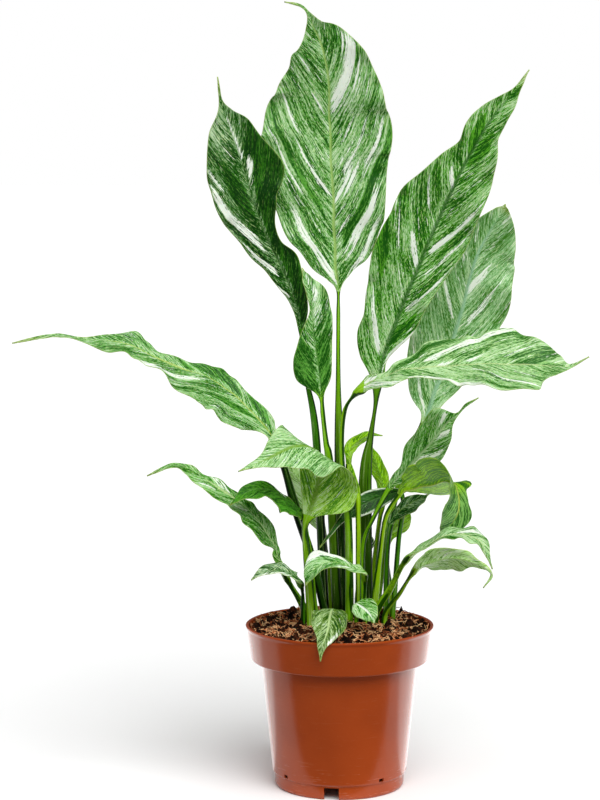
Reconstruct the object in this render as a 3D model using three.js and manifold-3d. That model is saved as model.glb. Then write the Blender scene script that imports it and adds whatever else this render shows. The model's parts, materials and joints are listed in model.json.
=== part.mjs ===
// A potted peace lily: marbled leaves on long grooved stalks, standing in dark
// fibrous soil in a round terracotta-coloured nursery pot. Millimetres, +Z up.
// The origin is the centre of the pot's underside, on the surface it stands on.
import * as THREE from 'three';
import { mergeVertices } from 'three/addons/utils/BufferGeometryUtils.js';
import Module from 'manifold-3d';

const wasm = await Module();
wasm.setup();

// Pot: a thin tapered shell with a deep rim band and a flared lip. It stands on
// a foot ring and on a hollow central foot that holds up the floor.
const POT_HEIGHT = 104;
const WALL = 1.2;
const RIM_TOP_RADIUS = 60;
const RIM_LOW_RADIUS = 56.6;
const RIM_BAND = 22;
const RIM_EDGE = 0.6;
const SHOULDER = POT_HEIGHT - RIM_BAND;
const LIP = 0.8;
const LIP_HEIGHT = 2.4;
const LIP_EDGE = 0.4;
const BODY_TOP_RADIUS = 50;
const BODY_LOW_RADIUS = 42.8;
const FLOOR_TOP = 10;
const FOOT_RADIUS = 41.4;
const FOOT_HEIGHT = 8.6;
const FOOT_EDGE = 1.4;
const CENTRE_FOOT_RADIUS = 11;
const DRAFT = 0.6;
const AROUND = 48;

// Openings: two notches through the foot ring, front and back, and a round of
// drain slots above the floor. Angles are in degrees from +X, seen from above.
const NOTCH = { width: 9.4, height: 7.8, deep: 12, below: 1, angles: [-98, 82] };
const SLOT = { width: 3.6, height: 2.2, deep: 6, angles: [-53, -8, 37, 127, 172, 217] };

// Soil: fills the pot to below the rim, is mounded at the crown and lumpy.
const SOIL_GAP = 0.4;
const SOIL_EDGE = 102;
const SOIL_MOUND = 2;
const SOIL_MOUND_RADIUS = 50;
const SOIL_RINGS = [0, 10, 20, 30, 38, 46, 53];
const SOIL_AROUND = 32;
const LUMP = { height: 0.9, small: 0.6, alongX: 0.31, alongY: 0.37, across: 0.53, start: 1.3 };

// Leaves: sheet thickness at the margin, extra thickness along the midrib and
// its loss towards the tip, and the depth of a stalk, which is flatter than wide
// at its sheath. A stalk turns into a blade from FLATTEN rows before its foot.
const SHEET = 0.7;
const RIB = 1.3;
const RIB_TAPER = 0.7;
const STALK_DEPTH = 2.3;
const FLATTEN = 0.6;
const WAVE_LAG = 1.9;
const COLUMNS = [-1, -0.55, 0, 0.55, 1];
const STALK_STEPS = 2;
const BLADE_STEPS = 2;

// Stalks stand in holes in the soil: where they end, and the free gap round them.
const ROOT_Z = 90;
const HOLE_GAP = 0.4;

const MERGE = 1e-3;

const TERRACOTTA = new THREE.MeshStandardMaterial({ color: 0xa5492a, roughness: 0.45, metalness: 0 });
const PEAT = new THREE.MeshStandardMaterial({ color: 0x3b241a, roughness: 0.95, metalness: 0 });
const MID_GREEN = { color: 0x4f8f45, roughness: 0.42, metalness: 0 };
const DARK_GREEN = { color: 0x2c5f24, roughness: 0.4, metalness: 0 };
const FRESH_GREEN = { color: 0x7fae27, roughness: 0.45, metalness: 0 };

// Every leaf is one piece, stalk and blade. A stalk row is x, y, z and half
// width, from the soil up; a blade row is x, y, z and the half widths to the
// left and right of the midrib, from foot to tip. face lists directions that
// the upper surface looks in along the blade, fold is the rise of each half
// in degrees, and wave is the height of the waves, which the margins have.
const LEAVES = [
  {
    name: 'leaf_tall_centre',
    green: MID_GREEN,
    stalk: [[2, 22, 107, 3.4], [1, 22, 115, 3.4], [-0.5, 11, 215, 2.9], [-1, 13, 260, 1.6],
      [-1, 14, 300, 1.3]],
    blade: [[-1, 14, 317, 1.5, 1.5], [-2, 14, 325, 7, 8], [-3, 15, 333, 16.5, 17.5],
      [-3, 16, 345, 26, 25.5], [-4, 17, 358, 33.5, 31.5], [-4, 18, 372, 39, 33],
      [-5, 19, 387, 42.5, 35], [-6, 20, 401, 44.5, 37.5], [-6, 20, 416, 45, 39.5],
      [-7, 20, 429, 41.5, 37], [-7, 19, 442, 35.5, 34], [-8, 17, 454, 31, 29], [-10, 15, 464, 24, 24.5],
      [-13, 13, 474, 19.5, 17], [-17, 10, 482, 6, 8], [-20, 7, 490, 1.5, 1.5], [-25, 5, 495, 1, 1],
      [-35, 0, 497, 1, 1]],
    face: [[0, -1, 0.25], [0.05, -1, 0.15], [0, -1, 0.35]],
    fold: 9,
    wave: 1.6,
    waves: 7,
  },
  {
    name: 'leaf_left_upper',
    green: MID_GREEN,
    stalk: [[-9, 17, 107, 3], [-10, 16.5, 119, 3], [-15, 5, 222, 2.5], [-21, 7, 260, 1.5],
      [-23.5, 8, 282, 1.3]],
    blade: [[-25, 8, 294, 2, 3.5], [-27, 7, 304, 2.5, 7.5], [-30, 6, 314, 4.5, 9.5],
      [-34, 5, 324, 7.5, 11.5], [-39, 4, 335, 10.5, 13], [-44, 3, 345, 15, 8], [-48, 2, 355, 18, 8],
      [-52, 1, 365, 22, 12.5], [-56, 0, 375, 24.5, 18], [-59, 0, 387, 25.5, 25],
      [-62, 0, 397, 25, 22.5], [-66, 0, 409, 20.5, 17], [-70, 1, 420, 14, 13], [-73, 2, 429, 5, 5.5],
      [-75, 3, 437, 1.5, 1], [-77, 4, 451, 1, 1]],
    face: [[-0.25, -1, 0.1], [0.1, -1, 0.1], [0.3, -1, 0.2]],
    fold: 14,
    wave: 1.2,
    waves: 6,
  },
  {
    name: 'leaf_left_inner',
    green: DARK_GREEN,
    stalk: [[-1.5, 9.5, 107, 3.1], [-2, 9.5, 118, 3.1], [-6.5, -6, 204, 2.8], [-9, -8, 222, 1.8],
      [-11, -9, 240, 1.5]],
    blade: [[-12, -9, 252, 2.5, 2], [-13, -9, 263, 14.5, 7.5], [-15, -9, 277, 15, 10],
      [-17, -9, 290, 9, 12], [-18, -8, 304, 2, 12.5], [-19, -7, 315, 2.5, 11], [-22, -6, 324, 2.5, 5.5],
      [-24, -5, 332, 1, 1]],
    face: [[-0.3, -1, 0.1], [0.2, -1, 0.1], [0.6, -0.8, 0.1]],
    fold: 10,
    wave: 0.8,
    waves: 4,
  },
  {
    name: 'leaf_right_upper',
    green: MID_GREEN,
    stalk: [[17.5, 26, 107, 4.4], [17.5, 25.5, 117, 4.4], [16.5, 13, 195, 4.2], [20, 13, 224, 1.9],
      [23, 12, 245, 1.5]],
    blade: [[26, 11, 262, 7.5, 2.5], [28, 11, 273, 16, 2.5], [31, 10, 284, 21, 8],
      [35, 9, 295, 21, 13.5], [39, 9, 306, 24.5, 15], [44, 8, 318, 28, 16.5], [49, 7, 330, 31, 19],
      [54, 6, 343, 31, 22.5], [59, 5, 355, 29.5, 24.5], [65, 3, 369, 29.5, 24], [71, 1, 382, 23, 23.5],
      [77, 0, 395, 16.5, 21.5], [83, -2, 406, 10.5, 18], [89, -3, 417, 12, 11.5],
      [96, -4, 427, 10, 9.5], [103, -5, 436, 5, 7.5], [109, -6, 444, 1, 3.5], [117, -6, 455, 1, 1]],
    face: [[-0.2, -1, 0.1], [-0.1, -1, 0.2], [0, -1, 0.3]],
    fold: 12,
    wave: 1.6,
    waves: 7,
  },
  {
    name: 'leaf_right_back',
    green: MID_GREEN,
    stalk: [[25, 37, 107, 3.2], [25.5, 36.5, 119, 3.2], [32, 28.5, 160, 2.4], [43, 32, 206, 1.5]],
    blade: [[55, 38, 230, 2, 2], [59, 40, 238, 5.5, 10], [62, 42, 248, 10.5, 18],
      [67, 44, 260, 16, 24.5], [72, 46, 275, 20.5, 27.5], [77, 48, 291, 25, 28.5],
      [82, 49, 308, 30, 26.5], [86, 50, 325, 28.5, 23.5], [91, 50, 340, 26.5, 18.5],
      [97, 50, 351, 21.5, 14], [103, 49, 362, 13, 7.5], [108, 48, 371, 1, 1]],
    face: [[0.2, 1, 0.2], [0.1, 1, 0.3]],
    fold: 10,
    wave: 1.5,
    waves: 6,
  },
  {
    name: 'leaf_right_front',
    green: MID_GREEN,
    stalk: [[6, 3.5, 107, 2.7], [6, 3.5, 119, 2.7], [5.5, -7.5, 166, 2.4], [1, -10, 211, 1.8],
      [2, -14, 240, 1.5], [8, -22, 253, 1.5]],
    blade: [[16, -27, 260, 7.5, 8.5], [22, -30, 264, 4, 12], [30, -33, 267, 5, 17.5],
      [37, -36, 270, 9.5, 16], [47, -39, 271, 16, 12], [57, -42, 273, 19, 14], [68, -46, 274, 21, 20],
      [79, -50, 275, 22, 26], [91, -54, 276, 27.5, 30.5], [102, -57, 275, 27.5, 32],
      [112, -59, 275, 22.5, 29.5], [122, -60, 275, 17.5, 24.5], [130, -62, 275, 9, 12],
      [138, -63, 275, 2, 2], [149, -64, 281, 1, 1]],
    face: [[-0.3, -0.5, 0.8], [0, -0.6, 0.8], [0.1, -0.6, 0.8]],
    fold: 13,
    wave: 1.2,
    waves: 7,
  },
  {
    name: 'leaf_right_twisted',
    green: DARK_GREEN,
    stalk: [[14.5, 13, 107, 2.2], [14.5, 12.5, 120, 2.2], [15, 3, 155, 1.7], [21.5, -1, 173, 1.4]],
    blade: [[32, 0, 192, 2.5, 2], [37, 2, 198, 4, 6], [42, 4, 203, 4.5, 8], [49, 7, 210, 11, 10.5],
      [56, 10, 217, 12, 12.5], [63, 12, 225, 13, 9.5], [69, 14, 232, 13, 4.5], [75, 15, 237, 1.5, 1],
      [81, 15, 243, 1.5, 1], [89, 15, 248, 1, 1]],
    face: [[-0.3, -1, 0.3], [0.1, -1, 0.2], [0.4, -1, 0.1]],
    fold: 12,
    wave: 0.9,
    waves: 5,
  },
  {
    name: 'leaf_right_bright',
    green: FRESH_GREEN,
    stalk: [[22, 8, 107, 2.9], [23, 7.5, 121, 2.6], [25.5, 2, 145, 1.7], [29, -7, 174, 1.5]],
    blade: [[38, -11, 190, 2.5, 2.5], [44, -13, 193, 8, 14.5], [51, -15, 195, 18, 25.5],
      [58, -17.5, 196, 26.5, 27], [65, -20, 199, 34.5, 30], [71, -22, 198, 26, 17],
      [73, -23.5, 193, 9.5, 13], [74, -24, 186, 8, 14], [73, -24, 179, 11.5, 14.5],
      [69, -23, 172, 8, 9.5], [62, -21, 166, 1, 1]],
    face: [[-0.2, 0.6, 0.75], [-0.15, 0.55, 0.8], [-0.1, 0.5, 0.8], [0.5, -0.3, 0.6], [0.6, -0.75, 0.1],
      [0.6, -0.75, 0.1]],
    fold: 8,
    wave: 0.6,
    waves: 5,
  },
  {
    name: 'leaf_right_arched',
    green: MID_GREEN,
    stalk: [[22.5, -2, 107, 2.6], [24.5, -3, 115, 2.6], [32.5, -7, 129, 2.1], [39, -14, 144, 1.7]],
    blade: [[45, -27, 154, 4, 3], [54, -31, 160, 6, 4], [63, -35, 166, 7, 4], [72, -37, 168, 7, 6],
      [80, -39, 167, 8, 7], [86, -40, 164, 7, 6], [90, -41, 157, 3, 2.5], [94, -41, 147, 1, 2]],
    face: [[-0.4, -0.2, 0.9], [-0.1, -0.4, 0.9], [0.5, -0.4, 0.7]],
    fold: 10,
    wave: 0.8,
    waves: 4,
  },
  {
    name: 'leaf_right_low',
    green: MID_GREEN,
    stalk: [[28.5, -3, 107, 1.8], [30.5, -6, 115, 1.7], [37.5, -13.5, 126, 1.4],
      [43.5, -25.5, 139, 1.3]],
    blade: [[48, -43, 149, 4.5, 3.5], [56, -47, 153, 11.5, 9], [65, -51, 156, 15, 9],
      [74, -54, 156, 11, 6.5], [81, -56, 154, 5, 4], [88, -57, 151, 2, 1.5], [92, -57, 146, 1, 1],
      [87, -56, 138, 1, 1]],
    face: [[-0.3, 0.8, 0.5], [0, 0.8, 0.55], [0.4, 0.6, 0.5]],
    fold: 6,
    wave: 0.8,
    waves: 4,
  },
  {
    name: 'leaf_right_under',
    green: DARK_GREEN,
    stalk: [[30.5, 21, 107, 2], [30.5, 20.5, 118, 2], [31, 13, 150, 1.6]],
    blade: [[33, 6, 169, 2, 2.5], [38, 5, 176, 4, 6], [46, 3, 182, 5, 7], [52, 2, 185, 3, 4.5],
      [57, 1, 188, 1, 1]],
    face: [[-0.3, -0.8, 0.5], [0, -0.7, 0.7]],
    fold: 10,
    wave: 0.6,
    waves: 3,
  },
  {
    name: 'leaf_left_far',
    green: MID_GREEN,
    stalk: [[-8.5, 5, 107, 2.4], [-10.5, 5, 115, 2.6], [-17.5, 2, 145, 3.2], [-27.5, -3.5, 177, 3.4],
      [-35.5, -2, 205, 2.2]],
    blade: [[-42, 0, 222, 4, 3], [-47, 0, 230, 7.5, 8.5], [-53, 1, 237, 22.5, 9.5],
      [-60, 1, 244, 31, 10], [-67, 1, 251, 36, 8.5], [-76, 1, 257, 37, 13.5], [-86, 0, 263, 39.5, 10.5],
      [-97, -1, 267, 36.5, 8], [-108, -2, 272, 25, 5.5], [-120, -4, 277, 15, 8.5],
      [-132, -6, 283, 13, 11.5], [-145, -7, 286, 18, 6.5], [-160, -8, 287, 5.5, 1.5],
      [-179, -9, 290, 3.5, 1.5], [-206, -10, 285, 1.5, 1]],
    face: [[0.3, -0.6, 0.8], [0.2, -0.5, 0.85], [0, -0.5, 0.85]],
    fold: 12,
    wave: 1.2,
    waves: 7,
  },
  {
    name: 'leaf_left_low',
    green: DARK_GREEN,
    stalk: [[-21, 5, 107, 2.4], [-23.5, 4, 115, 2.4], [-32, 0.5, 130, 1.7]],
    blade: [[-39, -13, 148, 7, 3], [-41, -14, 156, 3, 3], [-46, -15, 164, 11.5, 7],
      [-52, -16, 173, 15, 8], [-60, -17.5, 182, 15, 5.5], [-69, -19, 190, 15, 5.5],
      [-78, -20.5, 196, 15, 6], [-87, -21.5, 202, 11, 3], [-95, -22.5, 207, 9, 3],
      [-105, -23, 210, 5.5, 1.5], [-121, -24, 203, 2, 1]],
    face: [[0.4, -0.5, 0.7], [0.2, -0.5, 0.8], [-0.2, -0.4, 0.9]],
    fold: 12,
    wave: 1,
    waves: 5,
  },
  {
    name: 'leaf_left_small',
    green: MID_GREEN,
    stalk: [[-23.5, -6, 107, 1.5], [-23.5, -7, 117, 1.5], [-24, -8.5, 128, 1.2]],
    blade: [[-27, -22, 137, 4.5, 4.5], [-31, -23.5, 141, 4.5, 3.5], [-38, -25, 144, 6, 5.5],
      [-45, -27, 144, 5.5, 5], [-52, -29, 141, 3, 3], [-56, -30, 138, 1.5, 1]],
    face: [[0.4, -0.4, 0.8], [0, -0.5, 0.85], [-0.4, -0.4, 0.8]],
    fold: 10,
    wave: 0.5,
    waves: 3,
  },
  {
    name: 'leaf_left_mid',
    green: MID_GREEN,
    stalk: [[-14.5, -1, 107, 1.7], [-16, -1, 117, 1.7], [-19.5, -7, 153, 1.5], [-21.5, -9.5, 166, 1.4]],
    blade: [[-24, -12, 176, 5, 3], [-28, -13.5, 182, 12.5, 1.5], [-35, -16, 188, 19, 2],
      [-43, -19, 193, 25, 4.5], [-52, -24, 195, 13, 6], [-59, -28.5, 193, 12, 5],
      [-65, -32, 190, 6.5, 1.5], [-69, -35, 186, 1.5, 1]],
    face: [[0.4, -0.5, 0.8], [0.1, -0.5, 0.85], [-0.4, -0.4, 0.8]],
    fold: 10,
    wave: 0.7,
    waves: 4,
  },
  {
    name: 'leaf_left_front',
    green: MID_GREEN,
    stalk: [[-18.5, -8, 107, 2.8], [-19, -8, 121, 2.8], [-21.5, -14, 154, 2.2], [-22.5, -16, 167, 1.7]],
    blade: [[-20, -16.5, 177, 5, 4], [-17, -14.5, 186, 23, 8], [-14, -13.5, 196, 25.5, 12],
      [-12, -15, 207, 24, 15], [-14, -19, 217, 27, 24], [-20, -25, 222, 29, 26],
      [-28, -32, 223, 23, 19], [-37, -39, 220, 13, 13], [-46, -45, 216, 6.5, 5.5],
      [-55, -50.5, 213, 2.5, 2.5], [-63, -55, 210, 1, 1]],
    face: [[0.15, 0.95, 0.2], [0.1, 0.9, 0.35], [0.6, 0.35, 0.7], [0.1, -0.65, 0.7], [-0.1, -0.75, 0.6],
      [-0.2, -0.8, 0.5]],
    fold: -8,
    wave: 0.8,
    waves: 5,
  },
  {
    name: 'leaf_front_small',
    green: MID_GREEN,
    stalk: [[16, -5, 107, 1.4], [15.5, -5, 114, 1.4], [16, -7.5, 131, 1.2]],
    blade: [[14, -21, 142, 4, 4.5], [8, -23.5, 144, 5, 4], [2, -26, 147, 5.5, 6],
      [-4, -28.5, 149, 7, 7], [-11, -32, 149, 7, 11], [-17, -35, 145, 6, 7.5], [-22, -38, 136, 1, 1]],
    face: [[0.4, -0.4, 0.8], [0, -0.5, 0.85], [-0.4, -0.5, 0.7]],
    fold: 10,
    wave: 0.5,
    waves: 3,
  },
  {
    name: 'leaf_front_drooping',
    green: MID_GREEN,
    stalk: [[-1.5, -11, 107, 1.5], [-2, -12, 111, 1.4]],
    blade: [[-5, -31, 119, 3, 3], [-6, -38, 119, 9, 9.5], [-7, -46, 117, 11, 11.5],
      [-8, -53, 112, 10.5, 10.5], [-10, -59, 107, 5.5, 6], [-12, -63, 102, 2.5, 3],
      [-13, -65, 94, 1, 1]],
    face: [[0, -0.2, 1], [0, -0.6, 0.8], [0, -1, 0.1]],
    fold: 6,
    wave: 0.9,
    waves: 4,
  },
  {
    name: 'leaf_front_right_small',
    green: MID_GREEN,
    stalk: [[10.5, -7, 107, 1.5], [10, -7, 112, 1.4]],
    blade: [[10, -22, 121, 2.5, 2.5], [12, -26, 121, 6.5, 6.5], [16, -31, 119, 8, 8],
      [19, -35, 116, 5, 5.5], [21, -37, 112, 1, 1]],
    face: [[-0.3, -0.6, 0.9], [0, -1, 0.5]],
    fold: 8,
    wave: 0.5,
    waves: 3,
  },
  {
    name: 'leaf_centre_dark',
    green: DARK_GREEN,
    stalk: [[34.5, 15, 107, 1.8], [35.5, 14.5, 119, 1.8], [38, 10, 157, 1.6], [40.5, 9.5, 176, 1.4]],
    blade: [[39, 9, 187, 2, 2], [30, 8, 186, 5.5, 5], [19, 7, 182, 7.5, 7], [9, 4, 177, 6, 5],
      [1, -2, 172, 2.5, 2], [-6, -7, 164, 1.5, 1], [-13, -10, 155, 1, 1]],
    face: [[0.3, -0.9, 0.4], [0, -0.9, 0.4]],
    fold: 8,
    wave: 0.8,
    waves: 4,
  },
  {
    name: 'leaf_back_tip',
    green: FRESH_GREEN,
    stalk: [[6, 32, 107, 3.8], [6, 31.5, 120, 3.8], [5.5, 20, 181, 2.6]],
    blade: [[6, 20, 206, 2, 2], [7, 21, 215, 4.5, 4], [14, 23, 221, 4.5, 3.5], [21, 26, 223, 3, 2],
      [28, 28, 222, 1, 1]],
    face: [[-0.2, 1, 0.3], [-0.1, 0.8, 0.5]],
    fold: 8,
    wave: 0.5,
    waves: 3,
  },
  {
    name: 'leaf_back_lance',
    green: FRESH_GREEN,
    stalk: [[21.5, 45, 107, 2], [22, 44, 120, 2], [26, 32, 163, 1.5]],
    blade: [[28, 29, 176, 2, 2], [28, 28, 192, 4.5, 4.5], [24, 27, 204, 4.5, 5.5], [20, 26, 217, 1, 1]],
    face: [[0.2, 1, 0.2], [0, 1, 0.2]],
    fold: 10,
    wave: 0.6,
    waves: 3,
  },
  {
    name: 'leaf_back_low',
    green: FRESH_GREEN,
    stalk: [[34, 31, 107, 1.9], [33.5, 30.5, 120, 1.9], [31, 26, 141, 1.5]],
    blade: [[32, 18, 155, 2, 2], [35, 18, 162, 6, 9], [40, 18, 168, 7, 7], [46, 18, 176, 1, 1]],
    face: [[0.3, 1, 0.2], [0.1, 1, 0.3]],
    fold: 8,
    wave: 0.6,
    waves: 3,
  },
  {
    name: 'leaf_back_left',
    green: MID_GREEN,
    stalk: [[-5, 36, 107, 3.8], [-6, 35, 121, 3.4], [-9, 30, 147, 1.8]],
    blade: [[-10, 24, 158, 2, 2], [-14, 25, 169, 4, 7.5], [-20, 26, 183, 6, 9.5],
      [-28, 26, 196, 4.5, 6], [-36, 26, 205, 1, 1]],
    face: [[0.3, 1, 0.2], [0.1, 1, 0.3]],
    fold: 8,
    wave: 0.8,
    waves: 3,
  },
  {
    name: 'leaf_centre_small',
    green: MID_GREEN,
    stalk: [[13.5, 38, 107, 3.4], [14, 39, 119, 3]],
    blade: [[18, 30, 143, 1.5, 1.5], [21, 29, 152, 2.5, 2.5], [19, 29, 159, 1, 1]],
    face: [[-0.5, -0.9, 0.1], [0.3, -1, 0.1]],
    fold: 8,
    wave: 0.4,
    waves: 3,
  },
  {
    name: 'shoot_centre',
    green: FRESH_GREEN,
    stalk: [[12, 4, 107, 1.8], [12, 4, 116, 1.8], [11.5, -7, 172, 1.7]],
    blade: [[11, -6, 190, 2, 2], [8, -4, 201, 2, 2], [6, -2, 211, 1, 1]],
    face: [[0, -1, 0.2], [0, -1, 0.2]],
    fold: 30,
    wave: 0,
    waves: 3,
  },
];

const mix = (a, b, f) => a + (b - a) * f;
const clamp = (value) => Math.min(Math.max(value, 0), 1);
const smooth = (value) => clamp(value) ** 2 * (3 - 2 * clamp(value));

// A smooth curve through rows of numbers; t counts rows from the first.
function along(rows, t) {
  const i = Math.min(Math.floor(t), rows.length - 2);
  const f = t - i;
  const here = rows[i];
  const next = rows[i + 1];
  const before = rows[i - 1] ?? here.map((value, k) => 2 * value - next[k]);
  const after = rows[i + 2] ?? next.map((value, k) => 2 * value - here[k]);
  return here.map((value, k) => {
    const leave = (next[k] - before[k]) / 2;
    const arrive = (after[k] - value) / 2;
    const rise = next[k] - value;
    const bend = 3 * rise - 2 * leave - arrive;
    return value + leave * f + bend * f ** 2 + (leave + arrive - 2 * rise) * f ** 3;
  });
}

// The stalk's and blade's rows as one list, with the buried end straight below.
function rowsOf(leaf) {
  const [x, y, , half] = leaf.stalk[0];
  const stalk = leaf.stalk.map((row) => [...row, row[3]]);
  return [[x, y, ROOT_Z, half, half], ...stalk, ...leaf.blade];
}

// Place, side and up directions and half widths at t.
function frameAt(leaf, rows, t) {
  const foot = leaf.stalk.length + 1;
  const u = clamp((t - foot) / (rows.length - 1 - foot));
  const [x, y, z, left, right] = along(rows, t);
  const step = 0.01;
  const ahead = along(rows, Math.min(t + step, rows.length - 1)).slice(0, 3);
  const behind = along(rows, Math.max(t - step, 0)).slice(0, 3);
  const forward = new THREE.Vector3(...ahead).sub(new THREE.Vector3(...behind)).normalize();
  const up = new THREE.Vector3(...along(leaf.face, u * (leaf.face.length - 1)));
  up.addScaledVector(forward, -up.dot(forward)).normalize();
  const side = new THREE.Vector3().crossVectors(forward, up);
  const flat = smooth(t - foot + FLATTEN);
  return { place: new THREE.Vector3(x, y, z), up, side, left, right, u, flat };
}

// One cross-section: the points of its upper side and of its lower side.
function section(leaf, rows, t, grow) {
  const { place, up, side, left, right, u, flat } = frameAt(leaf, rows, t);
  const fold = THREE.MathUtils.degToRad(leaf.fold) * flat;
  const upper = [];
  const lower = [];
  for (const column of COLUMNS) {
    const out = Math.abs(column);
    const half = Math.max(column < 0 ? left : right, SHEET) + grow;
    const phase = 2 * Math.PI * leaf.waves * u + (column < 0 ? 0 : WAVE_LAG);
    const wave = leaf.wave * Math.sin(phase) * Math.sin(Math.PI * u) * out ** 2 * flat;
    const deep = Math.min(half, STALK_DEPTH + grow) * Math.sqrt(1 - out ** 2);
    const round = Math.max(deep, SHEET / 2 + grow);
    const sheet = SHEET / 2 + RIB / 2 * (1 - out) ** 3 * (1 - RIB_TAPER * u) + grow;
    const thick = mix(round, sheet / Math.cos(fold), flat);
    const middle = place.clone();
    middle.addScaledVector(side, Math.cos(fold) * column * half);
    middle.addScaledVector(up, Math.sin(fold) * out * half + wave);
    upper.push(middle.clone().addScaledVector(up, thick));
    lower.push(middle.clone().addScaledVector(up, -thick));
  }
  return { upper, lower };
}

// A closed solid through cross-sections; both sides are split alike.
function loft(sections) {
  const across = COLUMNS.length;
  const points = sections.flatMap(({ upper, lower }) => [...upper, ...lower]);
  const top = (ring, column) => 2 * across * ring + column;
  const low = (ring, column) => top(ring, column) + across;
  const index = [];
  const quad = (a, b, c, d) => index.push(a, b, c, a, c, d);
  const last = sections.length - 1;
  for (let column = 0; column < across - 1; column += 1) {
    const next = column + 1;
    for (let ring = 0; ring < last; ring += 1) {
      quad(top(ring, column), top(ring, next), top(ring + 1, next), top(ring + 1, column));
      index.push(low(ring, column), low(ring + 1, next), low(ring, next));
      index.push(low(ring, column), low(ring + 1, column), low(ring + 1, next));
    }
    quad(top(0, column), low(0, column), low(0, next), top(0, next));
    quad(top(last, column), top(last, next), low(last, next), low(last, column));
  }
  const edge = across - 1;
  for (let ring = 0; ring < last; ring += 1) {
    quad(top(ring, 0), top(ring + 1, 0), low(ring + 1, 0), low(ring, 0));
    quad(top(ring, edge), low(ring, edge), low(ring + 1, edge), top(ring + 1, edge));
  }
  const geometry = new THREE.BufferGeometry().setFromPoints(points);
  geometry.setIndex(index);
  return geometry;
}

function leafGeometry(leaf) {
  const rows = rowsOf(leaf);
  const foot = leaf.stalk.length + 1;
  const sections = [section(leaf, rows, 0, 0)];
  for (let k = 0; k <= (foot - 1) * STALK_STEPS; k += 1) {
    sections.push(section(leaf, rows, 1 + k / STALK_STEPS, 0));
  }
  for (let k = 1; k <= (leaf.blade.length - 1) * BLADE_STEPS; k += 1) {
    sections.push(section(leaf, rows, foot + k / BLADE_STEPS, 0));
  }
  return loft(sections);
}

// The hole that a stalk stands in: its buried length, a little larger all round.
function holeGeometry(leaf) {
  const rows = rowsOf(leaf);
  const sections = [0, 1].map((t) => section(leaf, rows, t, HOLE_GAP));
  for (const point of [...sections[0].upper, ...sections[0].lower]) {
    point.z -= HOLE_GAP;
  }
  return loft(sections);
}

function toManifold(geometry) {
  const bare = geometry.clone();
  bare.deleteAttribute('normal');
  bare.deleteAttribute('uv');
  const merged = mergeVertices(bare, MERGE);
  const vertProperties = new Float32Array(merged.attributes.position.array);
  const triVerts = new Uint32Array(merged.index.array);
  return new wasm.Manifold(new wasm.Mesh({ numProp: 3, vertProperties, triVerts }));
}

function toGeometry(solid) {
  const mesh = solid.getMesh();
  const geometry = new THREE.BufferGeometry();
  geometry.setAttribute('position', new THREE.BufferAttribute(mesh.vertProperties, 3));
  geometry.setIndex(new THREE.BufferAttribute(mesh.triVerts, 1));
  return geometry;
}

function lathe(profile, around) {
  const points = profile.map(([radius, z]) => new THREE.Vector2(radius, z));
  return new THREE.LatheGeometry(points, around).rotateX(Math.PI / 2);
}

// Half way round: the side of the foot ring and of the central foot, the wall
// outside up to the lip, and the wall inside down to the floor.
function potShell() {
  return lathe([
    [0, 0],
    [CENTRE_FOOT_RADIUS, 0],
    [CENTRE_FOOT_RADIUS + DRAFT, FOOT_HEIGHT],
    [FOOT_RADIUS - WALL - DRAFT, FOOT_HEIGHT],
    [FOOT_RADIUS - WALL - FOOT_EDGE - DRAFT, 0],
    [FOOT_RADIUS - FOOT_EDGE, 0],
    [FOOT_RADIUS - FOOT_EDGE * 0.3, FOOT_EDGE * 0.3],
    [FOOT_RADIUS, FOOT_EDGE],
    [FOOT_RADIUS, FOOT_HEIGHT],
    [BODY_LOW_RADIUS, FLOOR_TOP],
    [BODY_TOP_RADIUS, SHOULDER],
    [RIM_LOW_RADIUS - RIM_EDGE, SHOULDER],
    [RIM_LOW_RADIUS, SHOULDER + RIM_EDGE],
    [RIM_TOP_RADIUS - LIP, POT_HEIGHT - LIP_HEIGHT],
    [RIM_TOP_RADIUS, POT_HEIGHT - LIP_HEIGHT / 2],
    [RIM_TOP_RADIUS, POT_HEIGHT - LIP_EDGE],
    [RIM_TOP_RADIUS - LIP_EDGE, POT_HEIGHT],
    [RIM_TOP_RADIUS - LIP - WALL, POT_HEIGHT],
    [RIM_LOW_RADIUS - WALL, SHOULDER + WALL],
    [BODY_TOP_RADIUS - WALL, SHOULDER],
    [BODY_LOW_RADIUS - WALL, FLOOR_TOP],
    [CENTRE_FOOT_RADIUS + DRAFT - WALL, FLOOR_TOP],
    [CENTRE_FOOT_RADIUS - WALL, WALL],
    [0, WALL],
  ], AROUND);
}

function boxAt(width, deep, height, radius, z, degrees) {
  const box = new THREE.BoxGeometry(deep, width, height);
  box.translate(radius, 0, z);
  return box.rotateZ(THREE.MathUtils.degToRad(degrees));
}

function potGeometry() {
  const { below } = NOTCH;
  const notches = NOTCH.angles.map((degrees) => boxAt(
    NOTCH.width, NOTCH.deep, NOTCH.height + below, FOOT_RADIUS, (NOTCH.height - below) / 2, degrees));
  const slots = SLOT.angles.map((degrees) => boxAt(
    SLOT.width, SLOT.deep, SLOT.height, BODY_LOW_RADIUS, FLOOR_TOP + SLOT.height / 2, degrees));
  let pot = toManifold(potShell());
  for (const opening of [...notches, ...slots]) {
    pot = pot.subtract(toManifold(opening));
  }
  return toGeometry(pot);
}

// Height of the soil above a place.
function soilHeight(x, y) {
  const mound = SOIL_MOUND * (1 - smooth(Math.hypot(x, y) / SOIL_MOUND_RADIUS));
  const wide = Math.sin(x * LUMP.alongX + LUMP.start) * Math.cos(y * LUMP.alongY);
  const narrow = Math.sin((x + y) * LUMP.across) * LUMP.small;
  return SOIL_EDGE + mound + LUMP.height * (wide + narrow);
}

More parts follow.
